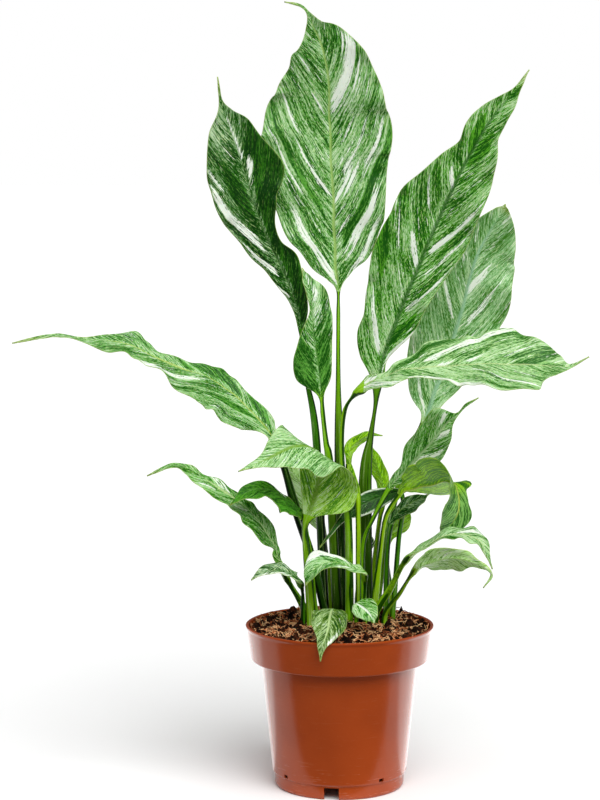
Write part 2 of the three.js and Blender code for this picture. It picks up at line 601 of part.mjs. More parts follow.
function soilBody() {
  const inner = (radius) => radius - WALL - SOIL_GAP;
  const rise = (SOIL_EDGE - SHOULDER) / RIM_BAND;
  const body = lathe([
    [0, WALL + SOIL_GAP],
    [inner(CENTRE_FOOT_RADIUS), WALL + SOIL_GAP],
    [inner(CENTRE_FOOT_RADIUS + DRAFT), FLOOR_TOP + SOIL_GAP],
    [inner(BODY_LOW_RADIUS), FLOOR_TOP + SOIL_GAP],
    [inner(BODY_TOP_RADIUS), SHOULDER + SOIL_GAP],
    [inner(RIM_LOW_RADIUS), SHOULDER + WALL + SOIL_GAP],
    [inner(mix(RIM_LOW_RADIUS, RIM_TOP_RADIUS - LIP, rise)) - SOIL_GAP, SOIL_EDGE],
    ...SOIL_RINGS.toReversed().map((radius) => [radius, SOIL_EDGE]),
  ], SOIL_AROUND);
  const position = body.attributes.position;
  for (let i = 0; i < position.count; i += 1) {
    if (Math.abs(position.getZ(i) - SOIL_EDGE) < MERGE) {
      position.setZ(i, soilHeight(position.getX(i), position.getY(i)));
    }
  }
  return body;
}

function soilGeometry() {
  let soil = toManifold(soilBody());
  for (const leaf of LEAVES) {
    soil = soil.subtract(toManifold(holeGeometry(leaf)));
  }
  return toGeometry(soil);
}

function piece(name, geometry, material) {
  const mesh = new THREE.Mesh(geometry, material);
  mesh.name = name;
  return mesh;
}

const group = new THREE.Group();
group.add(piece('pot', potGeometry(), TERRACOTTA));
group.add(piece('soil', soilGeometry(), PEAT));
for (const leaf of LEAVES) {
  group.add(piece(leaf.name, leafGeometry(leaf), new THREE.MeshStandardMaterial(leaf.green)));
}

export default group;
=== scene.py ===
# The looks of a potted peace lily: marbled leaves on long stalks, peat with
# coir fibres, and a terracotta-coloured nursery pot. Lengths in the tables are
# millimetres, as on the real plant; meshes are metres.
import json
import math
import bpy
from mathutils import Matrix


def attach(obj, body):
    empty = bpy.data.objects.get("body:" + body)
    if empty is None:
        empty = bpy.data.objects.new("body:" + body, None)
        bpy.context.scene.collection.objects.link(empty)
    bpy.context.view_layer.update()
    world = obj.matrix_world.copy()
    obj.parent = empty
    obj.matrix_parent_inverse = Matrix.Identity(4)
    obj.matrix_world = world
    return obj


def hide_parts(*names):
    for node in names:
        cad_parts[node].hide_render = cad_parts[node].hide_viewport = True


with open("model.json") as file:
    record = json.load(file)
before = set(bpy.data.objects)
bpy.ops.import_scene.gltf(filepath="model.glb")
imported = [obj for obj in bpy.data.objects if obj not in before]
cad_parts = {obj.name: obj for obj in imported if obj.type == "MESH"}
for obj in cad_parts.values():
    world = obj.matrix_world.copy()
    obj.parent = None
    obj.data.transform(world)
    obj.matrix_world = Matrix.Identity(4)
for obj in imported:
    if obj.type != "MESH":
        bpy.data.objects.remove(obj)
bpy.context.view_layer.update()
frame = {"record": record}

from types import SimpleNamespace

import bmesh
import bpy
import numpy as np
from mathutils import Vector

MM = 0.001


def srgb(red, green, blue):
    """A colour as painters give it, 0 to 255, as linear light."""
    return tuple((c / 255 / 12.92 if c < 11 else ((c / 255 + 0.055) / 1.055) ** 2.4)
                 for c in (red, green, blue))


# Pot: the measures of the solid, and the rounding of its edges.
POT_HEIGHT = 104
WALL = 1.2
RIM_TOP_RADIUS = 60
RIM_LOW_RADIUS = 56.6
RIM_BAND = 22
RIM_EDGE = 0.6
SHOULDER = POT_HEIGHT - RIM_BAND
LIP = 0.8
LIP_HEIGHT = 2.4
BODY_TOP_RADIUS = 50
BODY_LOW_RADIUS = 42.8
FLOOR_TOP = 10
FOOT_RADIUS = 41.4
FOOT_HEIGHT = 8.6
FOOT_EDGE = 1.4
CENTRE_FOOT_RADIUS = 11
DRAFT = 0.6
POT_AROUND = 192

# Edges of the pot that turn by more degrees than this stay sharp.
POT_SHARP = 32

# Openings through its wall; their angles are degrees from +X.
NOTCH = {"width": 9.4, "height": 7.8, "deep": 12, "below": 1, "angles": (-98, 82)}
SLOT = {"width": 3.6, "height": 2.2, "deep": 6, "angles": (-53, -8, 37, 127, 172, 217)}

# How far the pot is pressed out of round: mm, waves round it, twist per mm, start.
OUT_OF_ROUND = ((0.14, 2, 0, 0.7), (0.07, 5, 0.035, 0), (0.05, 9, 0, -1))

# Soil: the same mound and lumps as the solid. Crumbs and fibres are held within
# its reach.
SOIL_GAP = 0.4
SOIL_EDGE = 102
SOIL_MOUND = 2
SOIL_MOUND_RADIUS = 50
SOIL_REACH = 56.8
SOIL_AROUND = 168
SOIL_RINGS = 62
LUMP = {"height": 0.9, "small": 0.6, "along_x": 0.31, "along_y": 0.37, "across": 0.53, "start": 1.3}

# Clods: their widths, their height for a width, and the waves of each width.
CLODS = (14, 9, 6.5, 4.6, 3.3, 2.4, 1.8)
CLOD_HEIGHT = 0.09
CLOD_WAVES = 5

# The field that crumbs and fibres lie on: a disc with a small hole, which stops
# short of the soil's reach.
FIELD_AROUND = 72
FIELD_RINGS = 30
FIELD_HOLE = 0.5
FIELD_BACK = 1.5

# Crumbs and fibres: how many lie on a square metre, and their sizes in metres.
# A fibre's lean and a full turn are radians.
CRUMBS = {"Density": 3.2e5, "Size": 2.6 * MM, "Roughness": 2.6 * MM}
FIBRES = {"Density": 2.5e5, "Length": 10 * MM, "Thickness": 0.45 * MM, "Curl": 9 * MM}
FIBRE_POINTS = 9
FIBRE_LEAN = 0.42
ALL_ROUND = 6.283
SEEDS = {
    "clods": 5, "places": 7, "fibre_turn": 11, "fibre_size": 12, "fibre_shade": 13,
    "crumb_turn": 21, "crumb_size": 22}

# Leaves: the spacing of a blade's and a stalk's points and of the columns across
# a blade, the least half width, and how the stalk flattens into the blade.
BLADE_STEP = 1.15
STALK_STEP = 4.0
MIDRIB_COLUMNS = (0, 0.45, 1.0, 1.8, 2.9)
FIRST_COLUMN = 4.2
MARGIN_COLUMN = 0.4
LEAST_HALF = 0.35
TIP_TAPER = 10
STALK_DEPTH = 2.3
FLATTEN = 0.6
ROOT_Z = 90

# Thickness of each half of the sheet, and the midrib, which is lower to the tip.
HALF_THICK = 0.3
KEEL = {"height": 1.1, "width": 1.2}
GROOVE = {"height": 0.3, "width": 1.7, "floor": 0.6}
RIB_TAPER = 0.75

# A blade's relief: pleats along the side veins, waves and fine ruffles at the
# margins, and soft swells (height, length along the blade, lean across it).
VEIN_SPACING = 5.2
VEIN_LEAN = {"foot": 1.1, "margin": 0.5, "tip": 0.7}
VEIN_DRIFT = {"turns": 0.35, "length": 13, "lag": 1.3}
PLEAT_DEPTH = 0.55
WAVE_LAG = 1.9
RUFFLE = {"height": 0.8, "length": 3.1, "lag": 2.4, "drift": 2.4, "drift_length": 9}
SWELLS = ((0.7, 11, 1.7), (0.45, 6.1, -3.1))

# Centimetres between two leaves, and two halves of one, in the skin's noise.
LEAF_SHIFT = 37.0
HALF_SHIFT = 11.3

# Every leaf, as in the solids: rows of the stalk (x, y, z, half width) from the
# soil up, rows of the blade (x, y, z, half widths left and right) to the tip,
# ways that the upper side faces, the fold in degrees, and the margin's waves.
LEAVES = [
    {
        "name": "leaf_tall_centre",
        "stalk": [[2, 22, 107, 3.4], [1, 22, 115, 3.4], [-0.5, 11, 215, 2.9], [-1, 13, 260, 1.6],
            [-1, 14, 300, 1.3]],
        "blade": [[-1, 14, 317, 1.5, 1.5], [-2, 14, 325, 7, 8], [-3, 15, 333, 16.5, 17.5],
            [-3, 16, 345, 26, 25.5], [-4, 17, 358, 33.5, 31.5], [-4, 18, 372, 39, 33],
            [-5, 19, 387, 42.5, 35], [-6, 20, 401, 44.5, 37.5], [-6, 20, 416, 45, 39.5],
            [-7, 20, 429, 41.5, 37], [-7, 19, 442, 35.5, 34], [-8, 17, 454, 31, 29], [-10, 15, 464, 24, 24.5],
            [-13, 13, 474, 19.5, 17], [-17, 10, 482, 6, 8], [-20, 7, 490, 1.5, 1.5], [-25, 5, 495, 1, 1],
            [-35, 0, 497, 1, 1]],
        "face": [[0, -1, 0.25], [0.05, -1, 0.15], [0, -1, 0.35]],
        "fold": 9, "wave": 1.6, "waves": 7,
    },
    {
        "name": "leaf_left_upper",
        "stalk": [[-9, 17, 107, 3], [-10, 16.5, 119, 3], [-15, 5, 222, 2.5], [-21, 7, 260, 1.5],
            [-23.5, 8, 282, 1.3]],
        "blade": [[-25, 8, 294, 2, 3.5], [-27, 7, 304, 2.5, 7.5], [-30, 6, 314, 4.5, 9.5],
            [-34, 5, 324, 7.5, 11.5], [-39, 4, 335, 10.5, 13], [-44, 3, 345, 15, 8], [-48, 2, 355, 18, 8],
            [-52, 1, 365, 22, 12.5], [-56, 0, 375, 24.5, 18], [-59, 0, 387, 25.5, 25],
            [-62, 0, 397, 25, 22.5], [-66, 0, 409, 20.5, 17], [-70, 1, 420, 14, 13], [-73, 2, 429, 5, 5.5],
            [-75, 3, 437, 1.5, 1], [-77, 4, 451, 1, 1]],
        "face": [[-0.25, -1, 0.1], [0.1, -1, 0.1], [0.3, -1, 0.2]],
        "fold": 14, "wave": 1.2, "waves": 6,
    },
    {
        "name": "leaf_left_inner",
        "stalk": [[-1.5, 9.5, 107, 3.1], [-2, 9.5, 118, 3.1], [-6.5, -6, 204, 2.8], [-9, -8, 222, 1.8],
            [-11, -9, 240, 1.5]],
        "blade": [[-12, -9, 252, 2.5, 2], [-13, -9, 263, 14.5, 7.5], [-15, -9, 277, 15, 10],
            [-17, -9, 290, 9, 12], [-18, -8, 304, 2, 12.5], [-19, -7, 315, 2.5, 11], [-22, -6, 324, 2.5, 5.5],
            [-24, -5, 332, 1, 1]],
        "face": [[-0.3, -1, 0.1], [0.2, -1, 0.1], [0.6, -0.8, 0.1]],
        "fold": 10, "wave": 0.8, "waves": 4,
    },
    {
        "name": "leaf_right_upper",
        "stalk": [[17.5, 26, 107, 4.4], [17.5, 25.5, 117, 4.4], [16.5, 13, 195, 4.2], [20, 13, 224, 1.9],
            [23, 12, 245, 1.5]],
        "blade": [[26, 11, 262, 7.5, 2.5], [28, 11, 273, 16, 2.5], [31, 10, 284, 21, 8],
            [35, 9, 295, 21, 13.5], [39, 9, 306, 24.5, 15], [44, 8, 318, 28, 16.5], [49, 7, 330, 31, 19],
            [54, 6, 343, 31, 22.5], [59, 5, 355, 29.5, 24.5], [65, 3, 369, 29.5, 24], [71, 1, 382, 23, 23.5],
            [77, 0, 395, 16.5, 21.5], [83, -2, 406, 10.5, 18], [89, -3, 417, 12, 11.5],
            [96, -4, 427, 10, 9.5], [103, -5, 436, 5, 7.5], [109, -6, 444, 1, 3.5], [117, -6, 455, 1, 1]],
        "face": [[-0.2, -1, 0.1], [-0.1, -1, 0.2], [0, -1, 0.3]],
        "fold": 12, "wave": 1.6, "waves": 7,
    },
    {
        "name": "leaf_right_back",
        "stalk": [[25, 37, 107, 3.2], [25.5, 36.5, 119, 3.2], [32, 28.5, 160, 2.4], [43, 32, 206, 1.5]],
        "blade": [[55, 38, 230, 2, 2], [59, 40, 238, 5.5, 10], [62, 42, 248, 10.5, 18],
            [67, 44, 260, 16, 24.5], [72, 46, 275, 20.5, 27.5], [77, 48, 291, 25, 28.5],
            [82, 49, 308, 30, 26.5], [86, 50, 325, 28.5, 23.5], [91, 50, 340, 26.5, 18.5],
            [97, 50, 351, 21.5, 14], [103, 49, 362, 13, 7.5], [108, 48, 371, 1, 1]],
        "face": [[0.2, 1, 0.2], [0.1, 1, 0.3]],
        "fold": 10, "wave": 1.5, "waves": 6,
    },
    {
        "name": "leaf_right_front",
        "stalk": [[6, 3.5, 107, 2.7], [6, 3.5, 119, 2.7], [5.5, -7.5, 166, 2.4], [1, -10, 211, 1.8],
            [2, -14, 240, 1.5], [8, -22, 253, 1.5]],
        "blade": [[16, -27, 260, 7.5, 8.5], [22, -30, 264, 4, 12], [30, -33, 267, 5, 17.5],
            [37, -36, 270, 9.5, 16], [47, -39, 271, 16, 12], [57, -42, 273, 19, 14], [68, -46, 274, 21, 20],
            [79, -50, 275, 22, 26], [91, -54, 276, 27.5, 30.5], [102, -57, 275, 27.5, 32],
            [112, -59, 275, 22.5, 29.5], [122, -60, 275, 17.5, 24.5], [130, -62, 275, 9, 12],
            [138, -63, 275, 2, 2], [149, -64, 281, 1, 1]],
        "face": [[-0.3, -0.5, 0.8], [0, -0.6, 0.8], [0.1, -0.6, 0.8]],
        "fold": 13, "wave": 1.2, "waves": 7,
    },
    {
        "name": "leaf_right_twisted",
        "stalk": [[14.5, 13, 107, 2.2], [14.5, 12.5, 120, 2.2], [15, 3, 155, 1.7], [21.5, -1, 173, 1.4]],
        "blade": [[32, 0, 192, 2.5, 2], [37, 2, 198, 4, 6], [42, 4, 203, 4.5, 8], [49, 7, 210, 11, 10.5],
            [56, 10, 217, 12, 12.5], [63, 12, 225, 13, 9.5], [69, 14, 232, 13, 4.5], [75, 15, 237, 1.5, 1],
            [81, 15, 243, 1.5, 1], [89, 15, 248, 1, 1]],
        "face": [[-0.3, -1, 0.3], [0.1, -1, 0.2], [0.4, -1, 0.1]],
        "fold": 12, "wave": 0.9, "waves": 5,
    },
    {
        "name": "leaf_right_bright",
        "stalk": [[22, 8, 107, 2.9], [23, 7.5, 121, 2.6], [25.5, 2, 145, 1.7], [29, -7, 174, 1.5]],
        "blade": [[38, -11, 190, 2.5, 2.5], [44, -13, 193, 8, 14.5], [51, -15, 195, 18, 25.5],
            [58, -17.5, 196, 26.5, 27], [65, -20, 199, 34.5, 30], [71, -22, 198, 26, 17],
            [73, -23.5, 193, 9.5, 13], [74, -24, 186, 8, 14], [73, -24, 179, 11.5, 14.5],
            [69, -23, 172, 8, 9.5], [62, -21, 166, 1, 1]],
        "face": [[-0.2, 0.6, 0.75], [-0.15, 0.55, 0.8], [-0.1, 0.5, 0.8], [0.5, -0.3, 0.6], [0.6, -0.75, 0.1],
            [0.6, -0.75, 0.1]],
        "fold": 8, "wave": 0.6, "waves": 5,
    },
    {
        "name": "leaf_right_arched",
        "stalk": [[22.5, -2, 107, 2.6], [24.5, -3, 115, 2.6], [32.5, -7, 129, 2.1], [39, -14, 144, 1.7]],
        "blade": [[45, -27, 154, 4, 3], [54, -31, 160, 6, 4], [63, -35, 166, 7, 4], [72, -37, 168, 7, 6],
            [80, -39, 167, 8, 7], [86, -40, 164, 7, 6], [90, -41, 157, 3, 2.5], [94, -41, 147, 1, 2]],
        "face": [[-0.4, -0.2, 0.9], [-0.1, -0.4, 0.9], [0.5, -0.4, 0.7]],
        "fold": 10, "wave": 0.8, "waves": 4,
    },
    {
        "name": "leaf_right_low",
        "stalk": [[28.5, -3, 107, 1.8], [30.5, -6, 115, 1.7], [37.5, -13.5, 126, 1.4],
            [43.5, -25.5, 139, 1.3]],
        "blade": [[48, -43, 149, 4.5, 3.5], [56, -47, 153, 11.5, 9], [65, -51, 156, 15, 9],
            [74, -54, 156, 11, 6.5], [81, -56, 154, 5, 4], [88, -57, 151, 2, 1.5], [92, -57, 146, 1, 1],
            [87, -56, 138, 1, 1]],
        "face": [[-0.3, 0.8, 0.5], [0, 0.8, 0.55], [0.4, 0.6, 0.5]],
        "fold": 6, "wave": 0.8, "waves": 4,
    },
    {
        "name": "leaf_right_under",
        "stalk": [[30.5, 21, 107, 2], [30.5, 20.5, 118, 2], [31, 13, 150, 1.6]],
        "blade": [[33, 6, 169, 2, 2.5], [38, 5, 176, 4, 6], [46, 3, 182, 5, 7], [52, 2, 185, 3, 4.5],
            [57, 1, 188, 1, 1]],
        "face": [[-0.3, -0.8, 0.5], [0, -0.7, 0.7]],
        "fold": 10, "wave": 0.6, "waves": 3,
    },
    {
        "name": "leaf_left_far",
        "stalk": [[-8.5, 5, 107, 2.4], [-10.5, 5, 115, 2.6], [-17.5, 2, 145, 3.2], [-27.5, -3.5, 177, 3.4],
            [-35.5, -2, 205, 2.2]],
        "blade": [[-42, 0, 222, 4, 3], [-47, 0, 230, 7.5, 8.5], [-53, 1, 237, 22.5, 9.5],
            [-60, 1, 244, 31, 10], [-67, 1, 251, 36, 8.5], [-76, 1, 257, 37, 13.5], [-86, 0, 263, 39.5, 10.5],
            [-97, -1, 267, 36.5, 8], [-108, -2, 272, 25, 5.5], [-120, -4, 277, 15, 8.5],
            [-132, -6, 283, 13, 11.5], [-145, -7, 286, 18, 6.5], [-160, -8, 287, 5.5, 1.5],
            [-179, -9, 290, 3.5, 1.5], [-206, -10, 285, 1.5, 1]],
        "face": [[0.3, -0.6, 0.8], [0.2, -0.5, 0.85], [0, -0.5, 0.85]],
        "fold": 12, "wave": 1.2, "waves": 7,
    },
    {
        "name": "leaf_left_low",
        "stalk": [[-21, 5, 107, 2.4], [-23.5, 4, 115, 2.4], [-32, 0.5, 130, 1.7]],
        "blade": [[-39, -13, 148, 7, 3], [-41, -14, 156, 3, 3], [-46, -15, 164, 11.5, 7],
            [-52, -16, 173, 15, 8], [-60, -17.5, 182, 15, 5.5], [-69, -19, 190, 15, 5.5],
            [-78, -20.5, 196, 15, 6], [-87, -21.5, 202, 11, 3], [-95, -22.5, 207, 9, 3],
            [-105, -23, 210, 5.5, 1.5], [-121, -24, 203, 2, 1]],
        "face": [[0.4, -0.5, 0.7], [0.2, -0.5, 0.8], [-0.2, -0.4, 0.9]],
        "fold": 12, "wave": 1, "waves": 5,
    },
    {
        "name": "leaf_left_small",
        "stalk": [[-23.5, -6, 107, 1.5], [-23.5, -7, 117, 1.5], [-24, -8.5, 128, 1.2]],
        "blade": [[-27, -22, 137, 4.5, 4.5], [-31, -23.5, 141, 4.5, 3.5], [-38, -25, 144, 6, 5.5],
            [-45, -27, 144, 5.5, 5], [-52, -29, 141, 3, 3], [-56, -30, 138, 1.5, 1]],
        "face": [[0.4, -0.4, 0.8], [0, -0.5, 0.85], [-0.4, -0.4, 0.8]],
        "fold": 10, "wave": 0.5, "waves": 3,
    },
    {
        "name": "leaf_left_mid",
        "stalk": [[-14.5, -1, 107, 1.7], [-16, -1, 117, 1.7], [-19.5, -7, 153, 1.5], [-21.5, -9.5, 166, 1.4]],
        "blade": [[-24, -12, 176, 5, 3], [-28, -13.5, 182, 12.5, 1.5], [-35, -16, 188, 19, 2],
            [-43, -19, 193, 25, 4.5], [-52, -24, 195, 13, 6], [-59, -28.5, 193, 12, 5],
            [-65, -32, 190, 6.5, 1.5], [-69, -35, 186, 1.5, 1]],
        "face": [[0.4, -0.5, 0.8], [0.1, -0.5, 0.85], [-0.4, -0.4, 0.8]],
        "fold": 10, "wave": 0.7, "waves": 4,
    },
    {
        "name": "leaf_left_front",
        "stalk": [[-18.5, -8, 107, 2.8], [-19, -8, 121, 2.8], [-21.5, -14, 154, 2.2], [-22.5, -16, 167, 1.7]],
        "blade": [[-20, -16.5, 177, 5, 4], [-17, -14.5, 186, 23, 8], [-14, -13.5, 196, 25.5, 12],
            [-12, -15, 207, 24, 15], [-14, -19, 217, 27, 24], [-20, -25, 222, 29, 26],
            [-28, -32, 223, 23, 19], [-37, -39, 220, 13, 13], [-46, -45, 216, 6.5, 5.5],
            [-55, -50.5, 213, 2.5, 2.5], [-63, -55, 210, 1, 1]],
        "face": [[0.15, 0.95, 0.2], [0.1, 0.9, 0.35], [0.6, 0.35, 0.7], [0.1, -0.65, 0.7], [-0.1, -0.75, 0.6],
            [-0.2, -0.8, 0.5]],
        "fold": -8, "wave": 0.8, "waves": 5,
    },
    {
        "name": "leaf_front_small",
        "stalk": [[16, -5, 107, 1.4], [15.5, -5, 114, 1.4], [16, -7.5, 131, 1.2]],
        "blade": [[14, -21, 142, 4, 4.5], [8, -23.5, 144, 5, 4], [2, -26, 147, 5.5, 6],
            [-4, -28.5, 149, 7, 7], [-11, -32, 149, 7, 11], [-17, -35, 145, 6, 7.5], [-22, -38, 136, 1, 1]],
        "face": [[0.4, -0.4, 0.8], [0, -0.5, 0.85], [-0.4, -0.5, 0.7]],
        "fold": 10, "wave": 0.5, "waves": 3,
    },
    {
        "name": "leaf_front_drooping",
        "stalk": [[-1.5, -11, 107, 1.5], [-2, -12, 111, 1.4]],
        "blade": [[-5, -31, 119, 3, 3], [-6, -38, 119, 9, 9.5], [-7, -46, 117, 11, 11.5],
            [-8, -53, 112, 10.5, 10.5], [-10, -59, 107, 5.5, 6], [-12, -63, 102, 2.5, 3],
            [-13, -65, 94, 1, 1]],
        "face": [[0, -0.2, 1], [0, -0.6, 0.8], [0, -1, 0.1]],
        "fold": 6, "wave": 0.9, "waves": 4,
    },
    {
        "name": "leaf_front_right_small",
        "stalk": [[10.5, -7, 107, 1.5], [10, -7, 112, 1.4]],
        "blade": [[10, -22, 121, 2.5, 2.5], [12, -26, 121, 6.5, 6.5], [16, -31, 119, 8, 8],
            [19, -35, 116, 5, 5.5], [21, -37, 112, 1, 1]],
        "face": [[-0.3, -0.6, 0.9], [0, -1, 0.5]],
        "fold": 8, "wave": 0.5, "waves": 3,
    },
    {
        "name": "leaf_centre_dark",
        "stalk": [[34.5, 15, 107, 1.8], [35.5, 14.5, 119, 1.8], [38, 10, 157, 1.6], [40.5, 9.5, 176, 1.4]],
        "blade": [[39, 9, 187, 2, 2], [30, 8, 186, 5.5, 5], [19, 7, 182, 7.5, 7], [9, 4, 177, 6, 5],
            [1, -2, 172, 2.5, 2], [-6, -7, 164, 1.5, 1], [-13, -10, 155, 1, 1]],
        "face": [[0.3, -0.9, 0.4], [0, -0.9, 0.4]],
        "fold": 8, "wave": 0.8, "waves": 4,
    },
    {
        "name": "leaf_back_tip",
        "stalk": [[6, 32, 107, 3.8], [6, 31.5, 120, 3.8], [5.5, 20, 181, 2.6]],
        "blade": [[6, 20, 206, 2, 2], [7, 21, 215, 4.5, 4], [14, 23, 221, 4.5, 3.5], [21, 26, 223, 3, 2],
            [28, 28, 222, 1, 1]],
        "face": [[-0.2, 1, 0.3], [-0.1, 0.8, 0.5]],
        "fold": 8, "wave": 0.5, "waves": 3,
    },
    {
        "name": "leaf_back_lance",
        "stalk": [[21.5, 45, 107, 2], [22, 44, 120, 2], [26, 32, 163, 1.5]],
        "blade": [[28, 29, 176, 2, 2], [28, 28, 192, 4.5, 4.5], [24, 27, 204, 4.5, 5.5], [20, 26, 217, 1, 1]],
        "face": [[0.2, 1, 0.2], [0, 1, 0.2]],
        "fold": 10, "wave": 0.6, "waves": 3,
    },
    {
        "name": "leaf_back_low",
        "stalk": [[34, 31, 107, 1.9], [33.5, 30.5, 120, 1.9], [31, 26, 141, 1.5]],
        "blade": [[32, 18, 155, 2, 2], [35, 18, 162, 6, 9], [40, 18, 168, 7, 7], [46, 18, 176, 1, 1]],
        "face": [[0.3, 1, 0.2], [0.1, 1, 0.3]],
        "fold": 8, "wave": 0.6, "waves": 3,
    },
    {
        "name": "leaf_back_left",
        "stalk": [[-5, 36, 107, 3.8], [-6, 35, 121, 3.4], [-9, 30, 147, 1.8]],
        "blade": [[-10, 24, 158, 2, 2], [-14, 25, 169, 4, 7.5], [-20, 26, 183, 6, 9.5],
            [-28, 26, 196, 4.5, 6], [-36, 26, 205, 1, 1]],
        "face": [[0.3, 1, 0.2], [0.1, 1, 0.3]],
        "fold": 8, "wave": 0.8, "waves": 3,
    },
    {
        "name": "leaf_centre_small",
        "stalk": [[13.5, 38, 107, 3.4], [14, 39, 119, 3]],
        "blade": [[18, 30, 143, 1.5, 1.5], [21, 29, 152, 2.5, 2.5], [19, 29, 159, 1, 1]],
        "face": [[-0.5, -0.9, 0.1], [0.3, -1, 0.1]],
        "fold": 8, "wave": 0.4, "waves": 3,
    },
    {
        "name": "shoot_centre",
        "stalk": [[12, 4, 107, 1.8], [12, 4, 116, 1.8], [11.5, -7, 172, 1.7]],
        "blade": [[11, -6, 190, 2, 2], [8, -4, 201, 2, 2], [6, -2, 211, 1, 1]],
        "face": [[0, -1, 0.2], [0, -1, 0.2]],
        "fold": 30, "wave": 0, "waves": 3,
    },
]

# Colours of living tissue, upper side, underside and stalk.
SAGE = {"upper": srgb(94, 168, 58), "under": srgb(128, 186, 112), "stalk": srgb(126, 190, 10)}
# Painted shade: sage with a near-black green stalk, for a stalk in the bundle's shade.
SAGE_SHADED_STALK = {**SAGE, "stalk": srgb(44, 98, 2)}
MARBLED = {"upper": srgb(86, 168, 30), "under": srgb(120, 172, 80), "stalk": srgb(122, 188, 8)}
DEEP = {"upper": srgb(44, 112, 8), "under": srgb(92, 154, 28), "stalk": srgb(66, 140, 6)}
PALE = {"upper": srgb(140, 196, 110), "under": srgb(172, 222, 122), "stalk": srgb(138, 194, 20)}
FRESH = {"upper": srgb(170, 236, 2), "under": srgb(186, 250, 0), "stalk": srgb(158, 208, 12)}
MISTED = {"upper": srgb(140, 204, 96), "under": srgb(140, 204, 96), "stalk": srgb(150, 200, 14)}
OLIVE = {"upper": srgb(100, 138, 36), "under": srgb(130, 172, 60), "stalk": srgb(120, 170, 20)}
NETTED = {**PALE, "under": srgb(164, 220, 56), "stalk": srgb(126, 180, 14)}
SHEATHED = {**MARBLED, "stalk": srgb(92, 150, 10)}

# Stalks just above the soil, which pale over these mm below the blade's foot. The dark base is painted shade
# low in the crowded bundle.
STALK_PALES = (-160, -20)
BRIGHT_BASE = srgb(120, 184, 6)
PAINTED_SHADE_BASE = srgb(22, 62, 0)

# Where the stalk's colour passes into the blade's, in mm from the blade's foot;
# where the outer half's colour starts and the tip's, as shares of the blade.
BLADE_FROM = (-3, 7)
OUTER_FROM = (0.52, 0.68)
TIP_FROM = (0.93, 0.99)

# Streaks and flecks, a blade's margin and its very tip.
CREAM = srgb(242, 250, 236)
LIGHT = srgb(216, 240, 200)
FLECK = srgb(204, 230, 150)
MARGIN = srgb(176, 198, 104)
TIP = srgb(140, 170, 50)

# The pot, and what the soil is made of.
PLASTIC_DARK, PLASTIC_PALE = srgb(160, 63, 14), srgb(170, 68, 16)
PLASTIC_SPECK, PLASTIC_WORN = srgb(196, 104, 60), srgb(200, 128, 96)
PEAT_BLACK, PEAT_BROWN = srgb(5, 2, 1), srgb(92, 46, 20)
COIR_DARK, COIR_RED, COIR_STRAW = srgb(66, 26, 10), srgb(216, 120, 66), srgb(255, 206, 150)
COIR_DULL = srgb(60, 36, 22)

# A midrib's colour, how strongly it shows, and its width in mm at the foot.
PLAIN_RIB = (srgb(142, 184, 84), 0.5, 0.9)
FAINT_RIB = (srgb(132, 176, 104), 0.3, 0.7)
# Painted shade: a dark midrib for the shade in a sunken rib's groove.
SHADED_GROOVE_RIB = (srgb(40, 96, 26), 0.75, 2.2)
PALE_RIB = (srgb(190, 216, 150), 0.8, 1.0)
